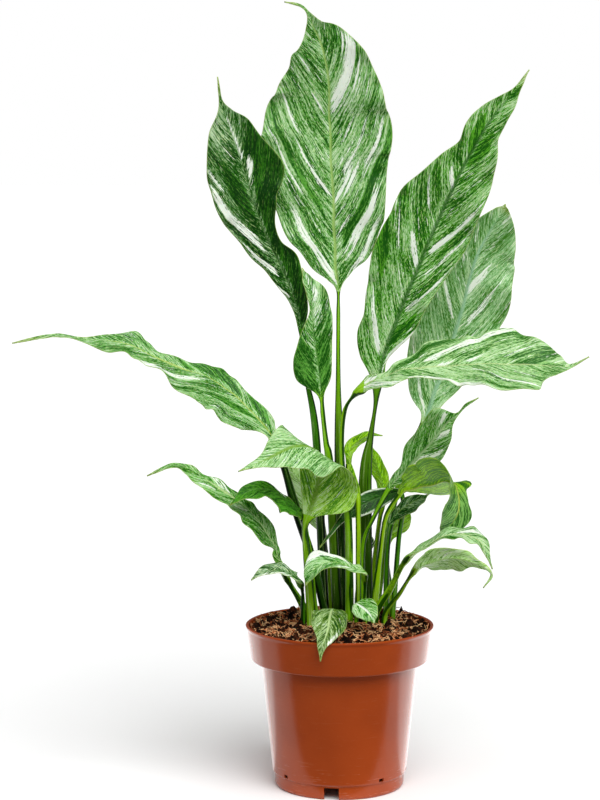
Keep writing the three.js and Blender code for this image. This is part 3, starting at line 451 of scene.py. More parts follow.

# How each leaf is coloured: its tissue, the tissue of its outer half where that differs, the stalk's colour
# at the soil where that isn't bright (the dark one is painted shade), how strongly it is marbled with cream
# (-1 none, 1 nearly all), its midrib, and the sectors between two side veins that are cream (1) or dark (-1),
# the dark ones painted shade of folds and of neighbouring leaves: side of the midrib (-1 left, 1 right), the
# mm along it between which the sector starts, its reach as shares of the way from midrib to margin, and that
# amount.
LOOKS = {
    "leaf_tall_centre": {
        "tissue": SAGE, "base": PAINTED_SHADE_BASE, "marble": 0.05, "rib": (srgb(160, 196, 104), 0.8, 1.3),
        "sectors": [
            # Painted light: this first sector lightens the right half, the side that the key lights.
            (1, 10, 130, 0.05, 0.9, 0.22),
            (1, 108, 123, 0.05, 0.95, 1), (1, 99, 102, 0.45, 0.8, 1), (1, 126, 129, 0.5, 0.9, 1),
            (1, 54, 58, 0.0, 0.34, 1), (1, 48, 52, 0.22, 0.5, 1), (1, 8, 20, 0.36, 0.8, 1),
            (1, 62, 65, 0.2, 0.5, 1), (1, 40, 43, 0.6, 0.9, 1), (1, -10, -2, 0.6, 0.95, 0.8),
            # The first sector here is painted shade in the fold of the right margin.
            (1, 19, 29, 0.2, 1.0, -0.8), (-1, 57, 60, 0.03, 0.5, 1), (-1, 66, 69, 0.46, 0.86, 1),
            (-1, 2, 11, 0.16, 0.68, 1), (-1, 30, 33, 0.5, 0.9, 1), (-1, 106, 109, 0.1, 0.34, 1),
            (-1, 121, 124, 0.4, 0.7, 1), (-1, 38, 44, 0.2, 0.8, -0.6)]},
    "leaf_left_upper": {
        "tissue": DEEP, "base": PAINTED_SHADE_BASE, "marble": -0.15, "rib": FAINT_RIB,
        "sectors": [
            # The first sector is painted shadow: the tall leaf's shadow on this blade's right half.
            (1, 0, 108, 0.22, 1.0, -0.7), (1, 95, 104, 0.1, 0.3, 1), (1, 110, 140, 0.02, 0.12, 0.9),
            (-1, 45, 56, 0.3, 0.95, 0.9), (-1, 30, 36, 0.4, 0.9, 0.9), (-1, 61, 66, 0.68, 0.98, 1),
            (-1, 70, 92, 0.1, 0.5, -0.6), (-1, 16, 20, 0.5, 1.0, 1), (-1, 100, 130, 0.2, 0.9, 0.15)]},
    "leaf_left_inner": {
        "tissue": SAGE, "base": PAINTED_SHADE_BASE, "marble": 0.0, "rib": FAINT_RIB,
        "sectors": [
            (1, 40, 75, 0.1, 0.5, 0.6), (1, -10, 30, 0.0, 0.8, -0.5), (-1, -10, 24, 0.2, 1.0, -0.8)]},
    "leaf_right_upper": {
        "tissue": SHEATHED, "base": PAINTED_SHADE_BASE, "marble": 0.0, "rib": SHADED_GROOVE_RIB,
        "sectors": [
            (-1, 126, 131, 0.0, 0.4, 1), (-1, 70, 76, 0.05, 0.42, 0.9), (1, 79, 85, 0.14, 0.9, 1),
            (1, 60, 64, 0.3, 0.9, 0.9), (1, 40, 44, 0.2, 0.95, 0.9), (1, 2, 7, 0.1, 0.5, 1),
            (-1, 9, 15, 0.2, 0.8, 1), (1, 6, 13, 0.5, 1.0, 1), (1, 20, 30, 0.1, 0.7, -0.8),
            (-1, 24, 40, 0.7, 1.0, -0.7), (-1, 150, 170, 0.0, 0.5, -0.6), (1, 140, 160, 0.1, 0.6, -0.5),
            (-1, 52, 56, 0.5, 0.9, 0.8), (-1, 96, 99, 0.3, 0.8, 0.8)]},
    "leaf_right_back": {
        "tissue": SAGE, "marble": 0.08, "rib": (srgb(150, 196, 160), 0.7, 2.0),
        "sectors": [
            (-1, 86, 94, 0.0, 0.4, 0.8), (1, 94, 98, 0.3, 0.8, 1), (1, 2, 6, 0.3, 0.9, 1),
            (-1, 60, 64, 0.2, 0.8, 0.9), (1, 62, 66, 0.1, 0.9, 0.9)]},
    "leaf_right_front": {
        "tissue": PALE, "marble": 0.06, "rib": (srgb(196, 216, 150), 0.6, 1.0),
        "sectors": [
            (-1, 31, 39, 0.25, 0.98, 1), (-1, 47, 53, 0.0, 0.2, 1), (-1, 60, 66, 0.1, 0.26, 1),
            (1, 12, 28, 0.84, 1.0, 1), (-1, 40, 47, 0.74, 0.94, -1), (-1, 47, 62, 0.82, 1.0, -0.9),
            (-1, 94, 126, 0.0, 0.16, -0.9), (-1, -4, 6, 0.1, 0.6, 1), (1, -6, 3, 0.2, 1.0, 0.9),
            (-1, 14, 22, 0.3, 0.9, -0.6), (1, 60, 64, 0.2, 0.8, 0.8), (-1, 78, 81, 0.2, 0.7, 0.9)]},
    "leaf_right_twisted": {
        "tissue": MARBLED, "marble": -0.05, "rib": (srgb(176, 204, 150), 0.7, 1.2),
        "sectors": [(1, 20, 26, 0.1, 0.8, 1), (1, 40, 48, 0.1, 0.7, 0.9), (-1, 46, 52, 0.2, 0.6, 0.9)]},
    "leaf_right_bright": {
        "tissue": FRESH, "outer": MISTED, "marble": -0.45, "rib": (srgb(196, 216, 96), 0.9, 1.2)},
    "leaf_right_arched": {
        "tissue": PALE, "marble": 0.0, "rib": PALE_RIB,
        "sectors": [(1, 10, 26, 0.2, 1.0, -0.5), (-1, 30, 36, 0.1, 0.9, 0.9)]},
    "leaf_right_low": {"tissue": PALE, "marble": 0.1},
    "leaf_right_under": {"tissue": DEEP, "marble": -0.1},
    "leaf_left_far": {
        "tissue": SAGE_SHADED_STALK, "base": PAINTED_SHADE_BASE, "marble": 0.05, "rib": (srgb(184, 204, 92), 0.6, 0.9),
        "sectors": [
            (-1, 49, 58, 0.2, 0.86, 1), (-1, 58, 80, 0.74, 1.0, 1), (1, 30, 60, 0.3, 1.0, -0.7),
            (1, 64, 72, 0.2, 0.8, -0.5), (1, 4, 20, 0.3, 0.9, -0.6), (-1, 14, 24, 0.1, 0.5, -0.7)]},
    "leaf_left_low": {
        "tissue": MARBLED, "marble": -0.05, "rib": PALE_RIB,
        "sectors": [
            (-1, 33, 37, 0.1, 0.6, 1), (1, 52, 62, 0.1, 0.9, 0.8), (-1, 56, 62, 0.2, 0.8, 0.7)]},
    "leaf_left_small": {
        "tissue": DEEP, "marble": 0.0, "rib": FAINT_RIB,
        "sectors": [(-1, 0, 30, 0.7, 1.0, 1)]},
    "leaf_left_mid": {
        "tissue": MARBLED, "marble": -0.3, "rib": FAINT_RIB,
        "sectors": [(1, 16, 20, 0.2, 0.8, 0.8)]},
    "leaf_left_front": {"tissue": NETTED, "marble": 0.02, "rib": (srgb(112, 156, 34), 0.8, 2.4)},
    "leaf_front_small": {
        "tissue": SAGE, "marble": 0.0,
        "sectors": [(1, 6, 20, 0.6, 1.0, 1), (-1, 8, 12, 0.2, 0.9, 0.8)]},
    "leaf_front_drooping": {
        "tissue": OLIVE, "marble": -0.12, "rib": PALE_RIB,
        "sectors": [(-1, 14, 30, 0.6, 1.0, 0.9)]},
    "leaf_front_right_small": {"tissue": MARBLED, "marble": 0.0, "rib": (CREAM, 0.9, 1.0)},
    "leaf_centre_dark": {
        "tissue": DEEP, "marble": -0.4, "rib": FAINT_RIB,
        "sectors": [(-1, -10, 60, 0.86, 1.1, 1.6), (1, -10, 40, 0.86, 1.1, 1.5)]},
    "leaf_back_tip": {"tissue": FRESH, "marble": -0.2},
    "leaf_back_lance": {"tissue": FRESH, "marble": -0.2},
    "leaf_back_low": {"tissue": FRESH, "marble": -0.15},
    "leaf_back_left": {"tissue": PALE, "base": PAINTED_SHADE_BASE, "marble": 0.0},
    "leaf_centre_small": {"tissue": DEEP, "marble": 0.0},
    "shoot_centre": {"tissue": FRESH, "marble": -0.3},
}

# Studio, in metres and degrees: the camera, the key light, how bright the white
# world is for each kind of ray, the floor, and panels on the floor for sheen
# (turn from +X, near and far end, width to the left or, if negative, to the
# right of that, power).
CAMERA = {"place": (-0.0254, -1.4, 0.394), "down": 5.95, "lens": 100, "film": 36}
KEY = {"place": (0.32, -0.8, 1.1), "power": 2.9, "softness": 48}
WORLD = {"fill": 0.42, "eye": 1.0, "sheen": 0.12}
FLOOR = {"side": 30, "front": -0.05, "back": 60}
PANELS = {"right_panel": (2, 0.05, 0.75, 0.7, 2.1), "left_panel": (158, 0.05, 0.75, -0.7, 1.5)}


def smooth(value):
    """0 to 1 with a soft start and end."""
    value = np.clip(value, 0, 1)
    return value * value * (3 - 2 * value)


def mix(low, high, share):
    """Between two numbers or arrays by a share."""
    return low + (high - low) * share


def step(value, low, high):
    """0 below low, 1 above high, with a soft passage between."""
    return smooth((value - low) / (high - low))


class Value:
    """A node's output; arithmetic on it adds Math nodes."""

    def __init__(self, nodes, socket):
        self.nodes = nodes
        self.socket = socket

    def math(self, operation, *operands):
        """A Math node of any operation on the operands."""
        return self.nodes.add("ShaderNodeMath", {"operation": operation}, dict(enumerate(operands)))

    def __add__(self, other):
        return self.math("ADD", self, other)

    def __sub__(self, other):
        return self.math("SUBTRACT", self, other)

    def __rsub__(self, other):
        return self.math("SUBTRACT", other, self)

    def __mul__(self, other):
        return self.math("MULTIPLY", self, other)

    __radd__ = __add__
    __rmul__ = __mul__

    def step(self, low, high):
        """0 below low, 1 above high, with a soft passage between."""
        values = {"Value": self, "From Min": low, "From Max": high}
        return self.nodes.add("ShaderNodeMapRange", {"interpolation_type": "SMOOTHSTEP"}, values)


class Nodes:
    """A node tree and the few ways in which this script adds to it."""

    def __init__(self, tree):
        self.tree = tree

    def add(self, kind, settings=None, inputs=None, output=0):
        """A node with its settings first, then the values or links of its sockets."""
        node = self.tree.nodes.new(kind)
        for name, value in (settings or {}).items():
            setattr(node, name, value)
        for name, value in (inputs or {}).items():
            if isinstance(value, Value):
                self.tree.links.new(value.socket, node.inputs[name])
            else:
                node.inputs[name].default_value = value
        return Value(self, node.outputs[output]) if node.outputs else None

    def join(self, *numbers):
        """A vector from up to three numbers or values."""
        return self.add("ShaderNodeCombineXYZ", inputs=dict(enumerate(numbers)))

    def split(self, vector):
        """The three numbers of a vector."""
        first = self.add("ShaderNodeSeparateXYZ", inputs={0: vector})
        return [Value(self, socket) for socket in first.socket.node.outputs]

    def noise(self, vector, scale=1.0, detail=2.0, roughness=0.5):
        """Smooth noise, about 0.5."""
        inputs = {"Vector": vector, "Scale": scale, "Detail": detail, "Roughness": roughness}
        return self.add("ShaderNodeTexNoise", inputs=inputs)

    def blend(self, share, low, high, how="MIX"):
        """One colour over another by a share from 0 to 1. The node's sockets are told
        apart by number, because it has some of the same name for other data."""
        settings = {"data_type": "RGBA", "blend_type": how, "clamp_factor": True}
        colours = [(*c, 1) if isinstance(c, tuple) else c for c in (low, high)]
        return self.add("ShaderNodeMix", settings, {0: share, 6: colours[0], 7: colours[1]}, 2)

    def attribute(self, name, output="Fac"):
        """A number that the mesh carries, or with output Color a colour."""
        return self.add("ShaderNodeAttribute", {"attribute_name": name}, output=output)

    def uv(self, name):
        """The numbers of a UV map."""
        return self.split(self.add("ShaderNodeUVMap", {"uv_map": name}))

    def place(self):
        """Object coordinates."""
        return self.add("ShaderNodeTexCoord", output="Object")


def finish_material(name, make):
    """A Principled material; make(nodes) gives its sockets' values or links."""
    material = bpy.data.materials.new(name)
    material.use_nodes = True
    nodes = Nodes(material.node_tree)
    shader = material.node_tree.nodes["Principled BSDF"]
    for socket, value in make(nodes).items():
        if isinstance(value, Value):
            material.node_tree.links.new(value.socket, shader.inputs[socket])
        else:
            shader.inputs[socket].default_value = value
    return material


def bump(nodes, height, strength, distance):
    """A Normal from a height; distance is metres."""
    inputs = {"Height": height, "Strength": strength, "Distance": distance}
    return nodes.add("ShaderNodeBump", inputs=inputs)


def leaf_skin(nodes, valley, contrast, roughness):
    """Leaf tissue: mottled along its side veins, with painted shade in the valleys between them and in dark
    sectors, with cream streaks and sectors, a midrib and a pale margin. The veins map is in centimetres,
    across the side veins and along them; the blade map is the share of the way to the tip and the centimetres
    to the margin."""
    across, outward, _ = nodes.uv("veins")
    _, inset, _ = nodes.uv("blade")
    ground = nodes.attribute("ground", "Color")
    cream = nodes.attribute("cream")
    pleat = nodes.attribute("pleat")
    drift = nodes.noise(nodes.join(across * 1.3, outward * 2.2), 1, 2, 0.5) - 0.5
    across = across + drift * 0.22
    streak = nodes.noise(nodes.join(across * 4.5, outward * 0.9), 1, 3, 0.6) - 0.5
    thread = nodes.noise(nodes.join(across * 9, outward * 2.4), 1, 2, 0.6) - 0.5
    grain = nodes.noise(nodes.join(across * 13, outward * 9), 1, 2, 0.7) - 0.5
    cloud = nodes.noise(nodes.join(across * 0.7, outward * 0.5), 1, 2, 0.5) - 0.5
    stripe = nodes.noise(nodes.join(across * 3.6 + 50, outward * 0.6), 1, 4, 0.7)

    # Negative cream amounts are painted shade: they darken the tone and take away the light frost.
    sector = cream.math("MINIMUM", cream, 0.4)
    tone = 0.5 + (streak * 1.8 + thread * 1.6 + grain * 2.4 + cloud * 1.6) * contrast
    # The pleat term is painted shade in the pleats' valleys and a little painted light on their ridges.
    tone = tone + (pleat - 0.8) * 0.5 + sector * 0.6
    frost = cream.step(-0.35, 0.0)
    # valley darkens the low tones: dark mottling, and painted shade in pleat valleys and dark sectors.
    colour = nodes.blend(tone.step(0.1, 0.58), nodes.blend(1.0, ground, valley, "MULTIPLY"), ground)
    colour = nodes.blend(tone.step(0.54, 1.05), colour, nodes.blend(frost * 0.6, ground, LIGHT))
    colour = nodes.blend((thread + grain).step(0.12, 0.24) * (frost * 0.45 + 0.15), colour, FLECK)
    white = (stripe + thread * 0.4 + grain * 0.35 + cream * 0.26).step(0.63, 0.7)
    colour = nodes.blend(white * 0.95, colour, CREAM)
    colour = nodes.blend(nodes.attribute("rib"), colour, nodes.attribute("rib_tone", "Color"))
    colour = nodes.blend((1 - inset.step(0.02, 0.06)) * 0.5, colour, MARGIN)
    relief = pleat * 0.4 + grain * 0.5 + thread * 0.5
    return {
        "Base Color": colour,
        "Roughness": roughness + grain * 0.3,
        "Specular IOR Level": 0.22,
        "Normal": bump(nodes, relief, 0.6, 0.0006),
        "Subsurface Weight": 0.04,
        "Subsurface Scale": 0.002,
    }


def leaf_upper(nodes):
    """Waxy, with deep dark mottling and deep painted shade in its valleys."""
    return leaf_skin(nodes, valley=(0.06, 0.24, 0.01), contrast=1.4, roughness=0.34)


def leaf_under(nodes):
    """Paler dark mottling and paler painted shade in its valleys, and duller."""
    return leaf_skin(nodes, valley=(0.2, 0.4, 0.05), contrast=1.15, roughness=0.46)


def stalk_skin(nodes):
    """Stalk: green with long pale and dark lines, and painted shade round to its sides."""
    across, onward, _ = nodes.uv("veins")
    _, inset, _ = nodes.uv("blade")
    ground = nodes.attribute("ground", "Color")
    line = nodes.noise(nodes.join(across * 9, onward * 0.22), 1, 3, 0.6) - 0.5
    fine = nodes.noise(nodes.join(across * 26, onward * 0.5), 1, 3, 0.6) - 0.5
    grain = nodes.noise(nodes.join(across * 22, onward * 9), 1, 2, 0.5) - 0.5
    # inset.step paints shade along the stalk's sides, where stalks crowd together.
    tone = line * 3 + fine * 1.2 + grain * 0.5 + inset.step(0.0, 0.14) - 0.3
    dark = nodes.blend(1.0, ground, (0.05, 0.14, 0.02), "MULTIPLY")
    colour = nodes.blend(tone.step(-0.1, 0.5), dark, ground)
    colour = nodes.blend(tone.step(0.8, 1.5) * 0.7, colour, FLECK)
    return {
        "Base Color": colour,
        "Roughness": 0.36 + fine * 0.3,
        "Specular IOR Level": 0.15,
        "Normal": bump(nodes, line * 0.7 + fine * 0.3, 0.5, 0.0004),
        "Subsurface Weight": 0.04,
        "Subsurface Scale": 0.002,
    }


def pot_plastic(nodes):
    """Satin moulded plastic: a fine grain, cloudy gloss, rubs near the foot."""
    place = nodes.place()
    x, y, z = nodes.split(place)
    grain = nodes.noise(place, 900, 2, 0.6)
    cloud = nodes.noise(place, 30, 2, 0.5)
    rub = nodes.noise(nodes.join(x * 60, y * 60, z * 900), 1, 3, 0.7)
    low = 1 - z.step(0.004, 0.03)
    worn = rub.step(0.6, 0.72) * (low * 0.6 + 0.08)
    colour = nodes.blend(cloud.step(0.3, 0.7), PLASTIC_DARK, PLASTIC_PALE)
    colour = nodes.blend(grain.step(0.62, 0.75) * 0.15, colour, PLASTIC_SPECK)
    colour = nodes.blend(worn, colour, PLASTIC_WORN)
    return {
        "Base Color": colour,
        "Roughness": 0.17 + cloud * 0.06 + worn * 0.3,
        "Specular IOR Level": 0.44,
        "Normal": bump(nodes, grain, 0.12, 0.0003),
    }


def peat(nodes):
    """Damp peat: near black, with brown crumbs."""
    place = nodes.place()
    crumb = nodes.noise(place, 420, 4, 0.7)
    patch = nodes.noise(place, 90, 2, 0.5)
    colour = nodes.blend((crumb + patch * 0.4).step(0.6, 1.05), PEAT_BLACK, PEAT_BROWN)
    return {
        "Base Color": colour,
        "Roughness": 0.85 + crumb * 0.1,
        "Specular IOR Level": 0.1,
        "Normal": bump(nodes, crumb, 0.8, 0.0012),
    }


def coir(nodes):
    """Dry coir fibres, each of its own brown."""
    shade = nodes.attribute("shade")
    place = nodes.place()
    grain = nodes.noise(place, 700, 2, 0.5)
    colour = nodes.blend(shade.step(0, 0.5), COIR_DARK, COIR_RED)
    colour = nodes.blend(shade.step(0.35, 0.8), colour, COIR_STRAW)
    return {
        "Base Color": nodes.blend((grain - 0.4) * 0.5, colour, COIR_DULL),
        "Roughness": 0.75 + grain * 0.15,
        "Specular IOR Level": 0.2,
    }


def floor_white(nodes):
    """Matte white paper."""
    grain = nodes.noise(nodes.place(), 3, 2, 0.5)
    return {
        "Base Color": nodes.blend(grain, (0.95, 0.95, 0.95), (0.97, 0.97, 0.97)),
        "Roughness": 0.9,
        "Specular IOR Level": 0.0,
    }


def add_uv(mesh, name, first, second):
    """A UV map from two lists over the corners of the quads; other corners get 0."""
    layer = mesh.uv_layers.new(name=name)
    values = np.zeros((len(mesh.loops), 2))
    values[:len(first), 0] = first
    values[:len(second), 1] = second
    layer.data.foreach_set("uv", values.reshape(-1))


def add_floats(mesh, name, values):
    """A number for each point."""
    attribute = mesh.attributes.new(name, "FLOAT", "POINT")
    attribute.data.foreach_set("value", np.asarray(values, np.float32))


def add_colours(mesh, name, values):
    """A colour for each point."""
    attribute = mesh.attributes.new(name, "FLOAT_COLOR", "POINT")
    rgba = np.ones((len(values), 4), np.float32)
    rgba[:, :3] = values
    attribute.data.foreach_set("color", rgba.reshape(-1))


def finish_piece(mesh, slot, *nodes, smooth_angle=None):
    """Drops stray points, shades the mesh smooth and hangs it in the frame."""
    loose = bmesh.new()
    loose.from_mesh(mesh)
    bmesh.ops.delete(loose, geom=[v for v in loose.verts if not v.link_faces], context="VERTS")
    loose.to_mesh(mesh)
    loose.free()
    mesh.shade_smooth()
    if smooth_angle is not None:
        mesh.set_sharp_from_angle(angle=math.radians(smooth_angle))
    piece = bpy.data.objects.new(mesh.name, mesh)
    bpy.context.scene.collection.objects.link(piece)
    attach(piece, "root")
    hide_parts(*nodes)


def rounded(points, steps=4):
    """A profile of (radius, height, rounding): each corner becomes an arc."""
    profile = []
    for k, (r, z, size) in enumerate(points):
        here = np.array([r, z], float)
        if size == 0 or k in (0, len(points) - 1):
            profile.append(here)
            continue
        before = np.array(points[k - 1][:2], float) - here
        after = np.array(points[k + 1][:2], float) - here
        a = here + unit(before) * min(size, np.linalg.norm(before) / 2)
        b = here + unit(after) * min(size, np.linalg.norm(after) / 2)
        for f in np.linspace(0, 1, steps):
            profile.append((1 - f) ** 2 * a + 2 * f * (1 - f) * here + f * f * b)
    return np.array(profile)


def turned(name, profile, around, place):
    """A closed shell turned about Z; place(radius, angle, height) gives points."""
    mesh = bpy.data.meshes.new(name)
    angles = np.arange(around) * 2 * math.pi / around
    inner = profile[1:-1]
    points = [place(0, 0, profile[0][1]), place(0, 0, profile[-1][1])]
    for r, z in inner:
        points.extend(place(r, a, z) for a in angles)

    def ring(k, j):
        return 2 + k * around + j % around

    faces = []
    for j in range(around):
        faces.append((0, ring(0, j + 1), ring(0, j)))
        faces.append((1, ring(len(inner) - 1, j), ring(len(inner) - 1, j + 1)))
        for k in range(len(inner) - 1):
            faces.append((ring(k, j), ring(k, j + 1), ring(k + 1, j + 1), ring(k + 1, j)))
    mesh.from_pydata([(x * MM, y * MM, z * MM) for x, y, z in points], [], faces)
    return mesh


def pot_point(r, a, z):
    """A point of the pot, which is pressed a little out of round."""
    give = step(z, 12, 60) * step(r, 20, 40)
    r += give * sum(size * math.sin(waves * a + twist * z + start)
                    for size, waves, twist, start in OUT_OF_ROUND)
    return r * math.cos(a), r * math.sin(a), z


def pot_shell():
    """The pot's profile, out over the feet, up the wall, over the lip and down inside."""
    return rounded([
        (0, 0, 0),
        (CENTRE_FOOT_RADIUS, 0, 0.5),
        (CENTRE_FOOT_RADIUS + DRAFT, FOOT_HEIGHT, 0.8),
        (FOOT_RADIUS - WALL - DRAFT, FOOT_HEIGHT, 0.8),
        (FOOT_RADIUS - WALL - FOOT_EDGE - DRAFT, 0, 0.3),
        (FOOT_RADIUS - FOOT_EDGE, 0, 0.3),
        (FOOT_RADIUS, FOOT_EDGE, 1.4),
        (FOOT_RADIUS, FOOT_HEIGHT, 0.2),
        (BODY_LOW_RADIUS, FLOOR_TOP - 0.5, 0.9),
        (BODY_TOP_RADIUS, SHOULDER, 0.3),
        (RIM_LOW_RADIUS - RIM_EDGE, SHOULDER, 0.6),
        (RIM_LOW_RADIUS, SHOULDER + RIM_EDGE, 0.6),
        (RIM_TOP_RADIUS - LIP, POT_HEIGHT - LIP_HEIGHT, 0.9),
        (RIM_TOP_RADIUS, POT_HEIGHT - LIP_HEIGHT / 2, 0.8),
        (RIM_TOP_RADIUS, POT_HEIGHT, 0.45),
        (RIM_TOP_RADIUS - LIP - WALL, POT_HEIGHT, 0.5),
        (RIM_LOW_RADIUS - WALL, SHOULDER + WALL, 0.8),
        (BODY_TOP_RADIUS - WALL, SHOULDER, 0.5),
        (BODY_LOW_RADIUS - WALL, FLOOR_TOP, 1),
        (CENTRE_FOOT_RADIUS + DRAFT - WALL, FLOOR_TOP, 0.5),
        (CENTRE_FOOT_RADIUS - WALL, WALL, 0.5),
        (0, WALL, 0),
    ])


def cutter(width, deep, height, radius, z, degrees):
    """A box, long outwards, for one opening through the wall."""
    shape = bmesh.new()
    bmesh.ops.create_cube(shape, size=1)
    turn = math.radians(degrees)
    for vertex in shape.verts:
        x, y, h = vertex.co.x * deep + radius, vertex.co.y * width, vertex.co.z * height + z
        vertex.co = Vector((
            x * math.cos(turn) - y * math.sin(turn), x * math.sin(turn) + y * math.cos(turn), h)) * MM
    mesh = bpy.data.meshes.new("opening")
    shape.to_mesh(mesh)
    shape.free()
    return bpy.data.objects.new("opening", mesh)


def settle(maker):
    """The evaluated mesh of an object that was only needed for its modifiers."""
    depsgraph = bpy.context.evaluated_depsgraph_get()
    mesh = bpy.data.meshes.new_from_object(maker.evaluated_get(depsgraph))
    bpy.data.objects.remove(maker)
    return mesh


def pot_piece():
    """The pot, with its notches and drain slots cut through."""
    mesh = turned("pot", pot_shell(), POT_AROUND, pot_point)
    low = (NOTCH["height"] - NOTCH["below"]) / 2
    openings = [cutter(NOTCH["width"], NOTCH["deep"], NOTCH["height"] + NOTCH["below"], FOOT_RADIUS, low, a)
                for a in NOTCH["angles"]]
    openings += [cutter(SLOT["width"], SLOT["deep"], SLOT["height"], BODY_LOW_RADIUS,
                        FLOOR_TOP + SLOT["height"] / 2, a) for a in SLOT["angles"]]
    maker = bpy.data.objects.new("pot_maker", mesh)
    for thing in [maker, *openings]:
        bpy.context.scene.collection.objects.link(thing)
    for opening in openings:
        cut = maker.modifiers.new("cut", "BOOLEAN")
        cut.operation, cut.solver, cut.object = "DIFFERENCE", "EXACT", opening
    cut_mesh = settle(maker)
    for opening in openings:
        bpy.data.objects.remove(opening)
    cut_mesh.name = "pot_look"
    cut_mesh.materials.clear()
    cut_mesh.materials.append(finish_material("pot_plastic", pot_plastic))
    finish_piece(cut_mesh, "pot_plastic", "pot", smooth_angle=POT_SHARP)


def soil_height(x, y):
    """The solid's height of soil above a place."""
    mound = SOIL_MOUND * (1 - smooth(np.hypot(x, y) / SOIL_MOUND_RADIUS))
    wide = np.sin(x * LUMP["along_x"] + LUMP["start"]) * np.cos(y * LUMP["along_y"])
    narrow = np.sin((x + y) * LUMP["across"]) * LUMP["small"]
    return SOIL_EDGE + mound + LUMP["height"] * (wide + narrow)


def clods(x, y):
    """Fine lumps on the soil, in mm: waves of each width, in all directions."""
    rng = np.random.default_rng(SEEDS["clods"])
    total = np.zeros(np.shape(x))
    for width in CLODS:
        for _ in range(CLOD_WAVES):
            way, start = rng.uniform(0, math.pi * 2, 2)
            place = x * math.cos(way) + y * math.sin(way)
            total += width ** 0.9 * CLOD_HEIGHT * np.sin(place * 2 * math.pi / width + start)
    return total


def soil_piece(material):
    """Soil as one closed body that fills the pot."""
    def inner(radius):
        return radius - WALL - SOIL_GAP

    rim_share = (SOIL_EDGE - SHOULDER) / RIM_BAND
    top_radius = inner(mix(RIM_LOW_RADIUS, RIM_TOP_RADIUS - LIP, rim_share)) - SOIL_GAP
    wall = [
        (0, WALL + SOIL_GAP),
        (inner(CENTRE_FOOT_RADIUS), WALL + SOIL_GAP),
        (inner(CENTRE_FOOT_RADIUS + DRAFT), FLOOR_TOP + SOIL_GAP),
        (inner(BODY_LOW_RADIUS), FLOOR_TOP + SOIL_GAP),
        (inner(BODY_TOP_RADIUS), SHOULDER + SOIL_GAP),
        (inner(RIM_LOW_RADIUS), SHOULDER + WALL + SOIL_GAP),
        (inner(RIM_LOW_RADIUS) + 1, SOIL_EDGE - 6),
    ]
    rings = [(r, SOIL_EDGE) for r in np.linspace(top_radius, 0, SOIL_RINGS)]

    def place(r, a, z):
        x, y = r * math.cos(a), r * math.sin(a)
        if z == SOIL_EDGE:
            z = float(soil_height(x, y) + clods(x, y) * (1 - step(r, top_radius - 3, top_radius)))
        return x, y, z

    mesh = turned("soil_look", np.array(wall + rings, float), SOIL_AROUND, place)
    mesh.materials.append(material)
    finish_piece(mesh, "soil_peat", "soil")


def along(rows, t):
    """Points at t on a smooth curve through rows of numbers."""
    rows = np.asarray(rows, float)
    ends = np.vstack([2 * rows[0] - rows[1], rows, 2 * rows[-1] - rows[-2]])
    i = np.clip(np.floor(t).astype(int), 0, len(rows) - 2)
    f = (t - i)[:, None]
    before, here, after, beyond = (ends[i + k] for k in range(4))
    leave, arrive, rise = (after - before) / 2, (beyond - here) / 2, after - here
    return here + leave * f + (3 * rise - 2 * leave - arrive) * f ** 2 + (leave + arrive - 2 * rise) * f ** 3


def unit(vectors):
    """The same directions, each of length 1."""
    return vectors / np.linalg.norm(vectors, axis=-1, keepdims=True)


def rows_of(leaf):
    """The stalk's and blade's rows as one list, with the buried end below."""
    x, y, _, half = leaf["stalk"][0]
    stalk = [[*row, row[3]] for row in leaf["stalk"]]
    return np.array([[x, y, ROOT_Z, half, half], *stalk, *leaf["blade"]], float)


def stations(rows, foot):
    """Where the cross-sections are: finer on the blade than on the stalk."""
    found = [np.array([0.0])]
    for i in range(len(rows) - 1):
        length = np.linalg.norm(rows[i + 1, :3] - rows[i, :3])
        steps = max(2, math.ceil(length / (STALK_STEP if i + 1 < foot else BLADE_STEP)))
        found.append(i + np.arange(1, steps + 1) / steps)
    return np.concatenate(found)


def columns(widest):
    """Shares of the half width: close at the midrib and right at the margin."""
    near = [s for s in MIDRIB_COLUMNS if s < widest - 1]
    far = np.arange(FIRST_COLUMN, widest - 0.9, BLADE_STEP * 1.15)
    side = np.array([*near, *far, widest - MARGIN_COLUMN, widest]) / widest
    return np.concatenate([-side[:0:-1], side])


def leaf_rows(leaf):
    """Where a leaf's rows of points lie: their middles and half widths, the ways
    up and sideways, and the mm from the blade's foot. U is the share of the blade
    that lies behind a row; flat is 0 on the round stalk and 1 on the blade."""
    rows = rows_of(leaf)
    foot, last = len(leaf["stalk"]) + 1, len(rows) - 1
    t = stations(rows, foot)
    at = along(rows, t)
    forward = unit((along(rows, np.minimum(t + 0.01, last)) - along(rows, np.maximum(t - 0.01, 0)))[:, :3])
    u = np.clip((t - foot) / (last - foot), 0, 1)
    up = along(leaf["face"], u * (len(leaf["face"]) - 1))
    up = unit(up - (up * forward).sum(1, keepdims=True) * forward)
    length = np.concatenate([[0], np.cumsum(np.linalg.norm(np.diff(at[:, :3], axis=0), axis=1))])
    length -= np.interp(foot, t, length)
    return SimpleNamespace(
        middle=at[:, None, :3], halves=at[:, 3:5], widest=max(rows[foot:, 3:].max(), 3),
        up=up[:, None], side=np.cross(forward, up)[:, None],
        u=u[:, None], flat=smooth(t - foot + FLATTEN)[:, None], length=length[:, None])


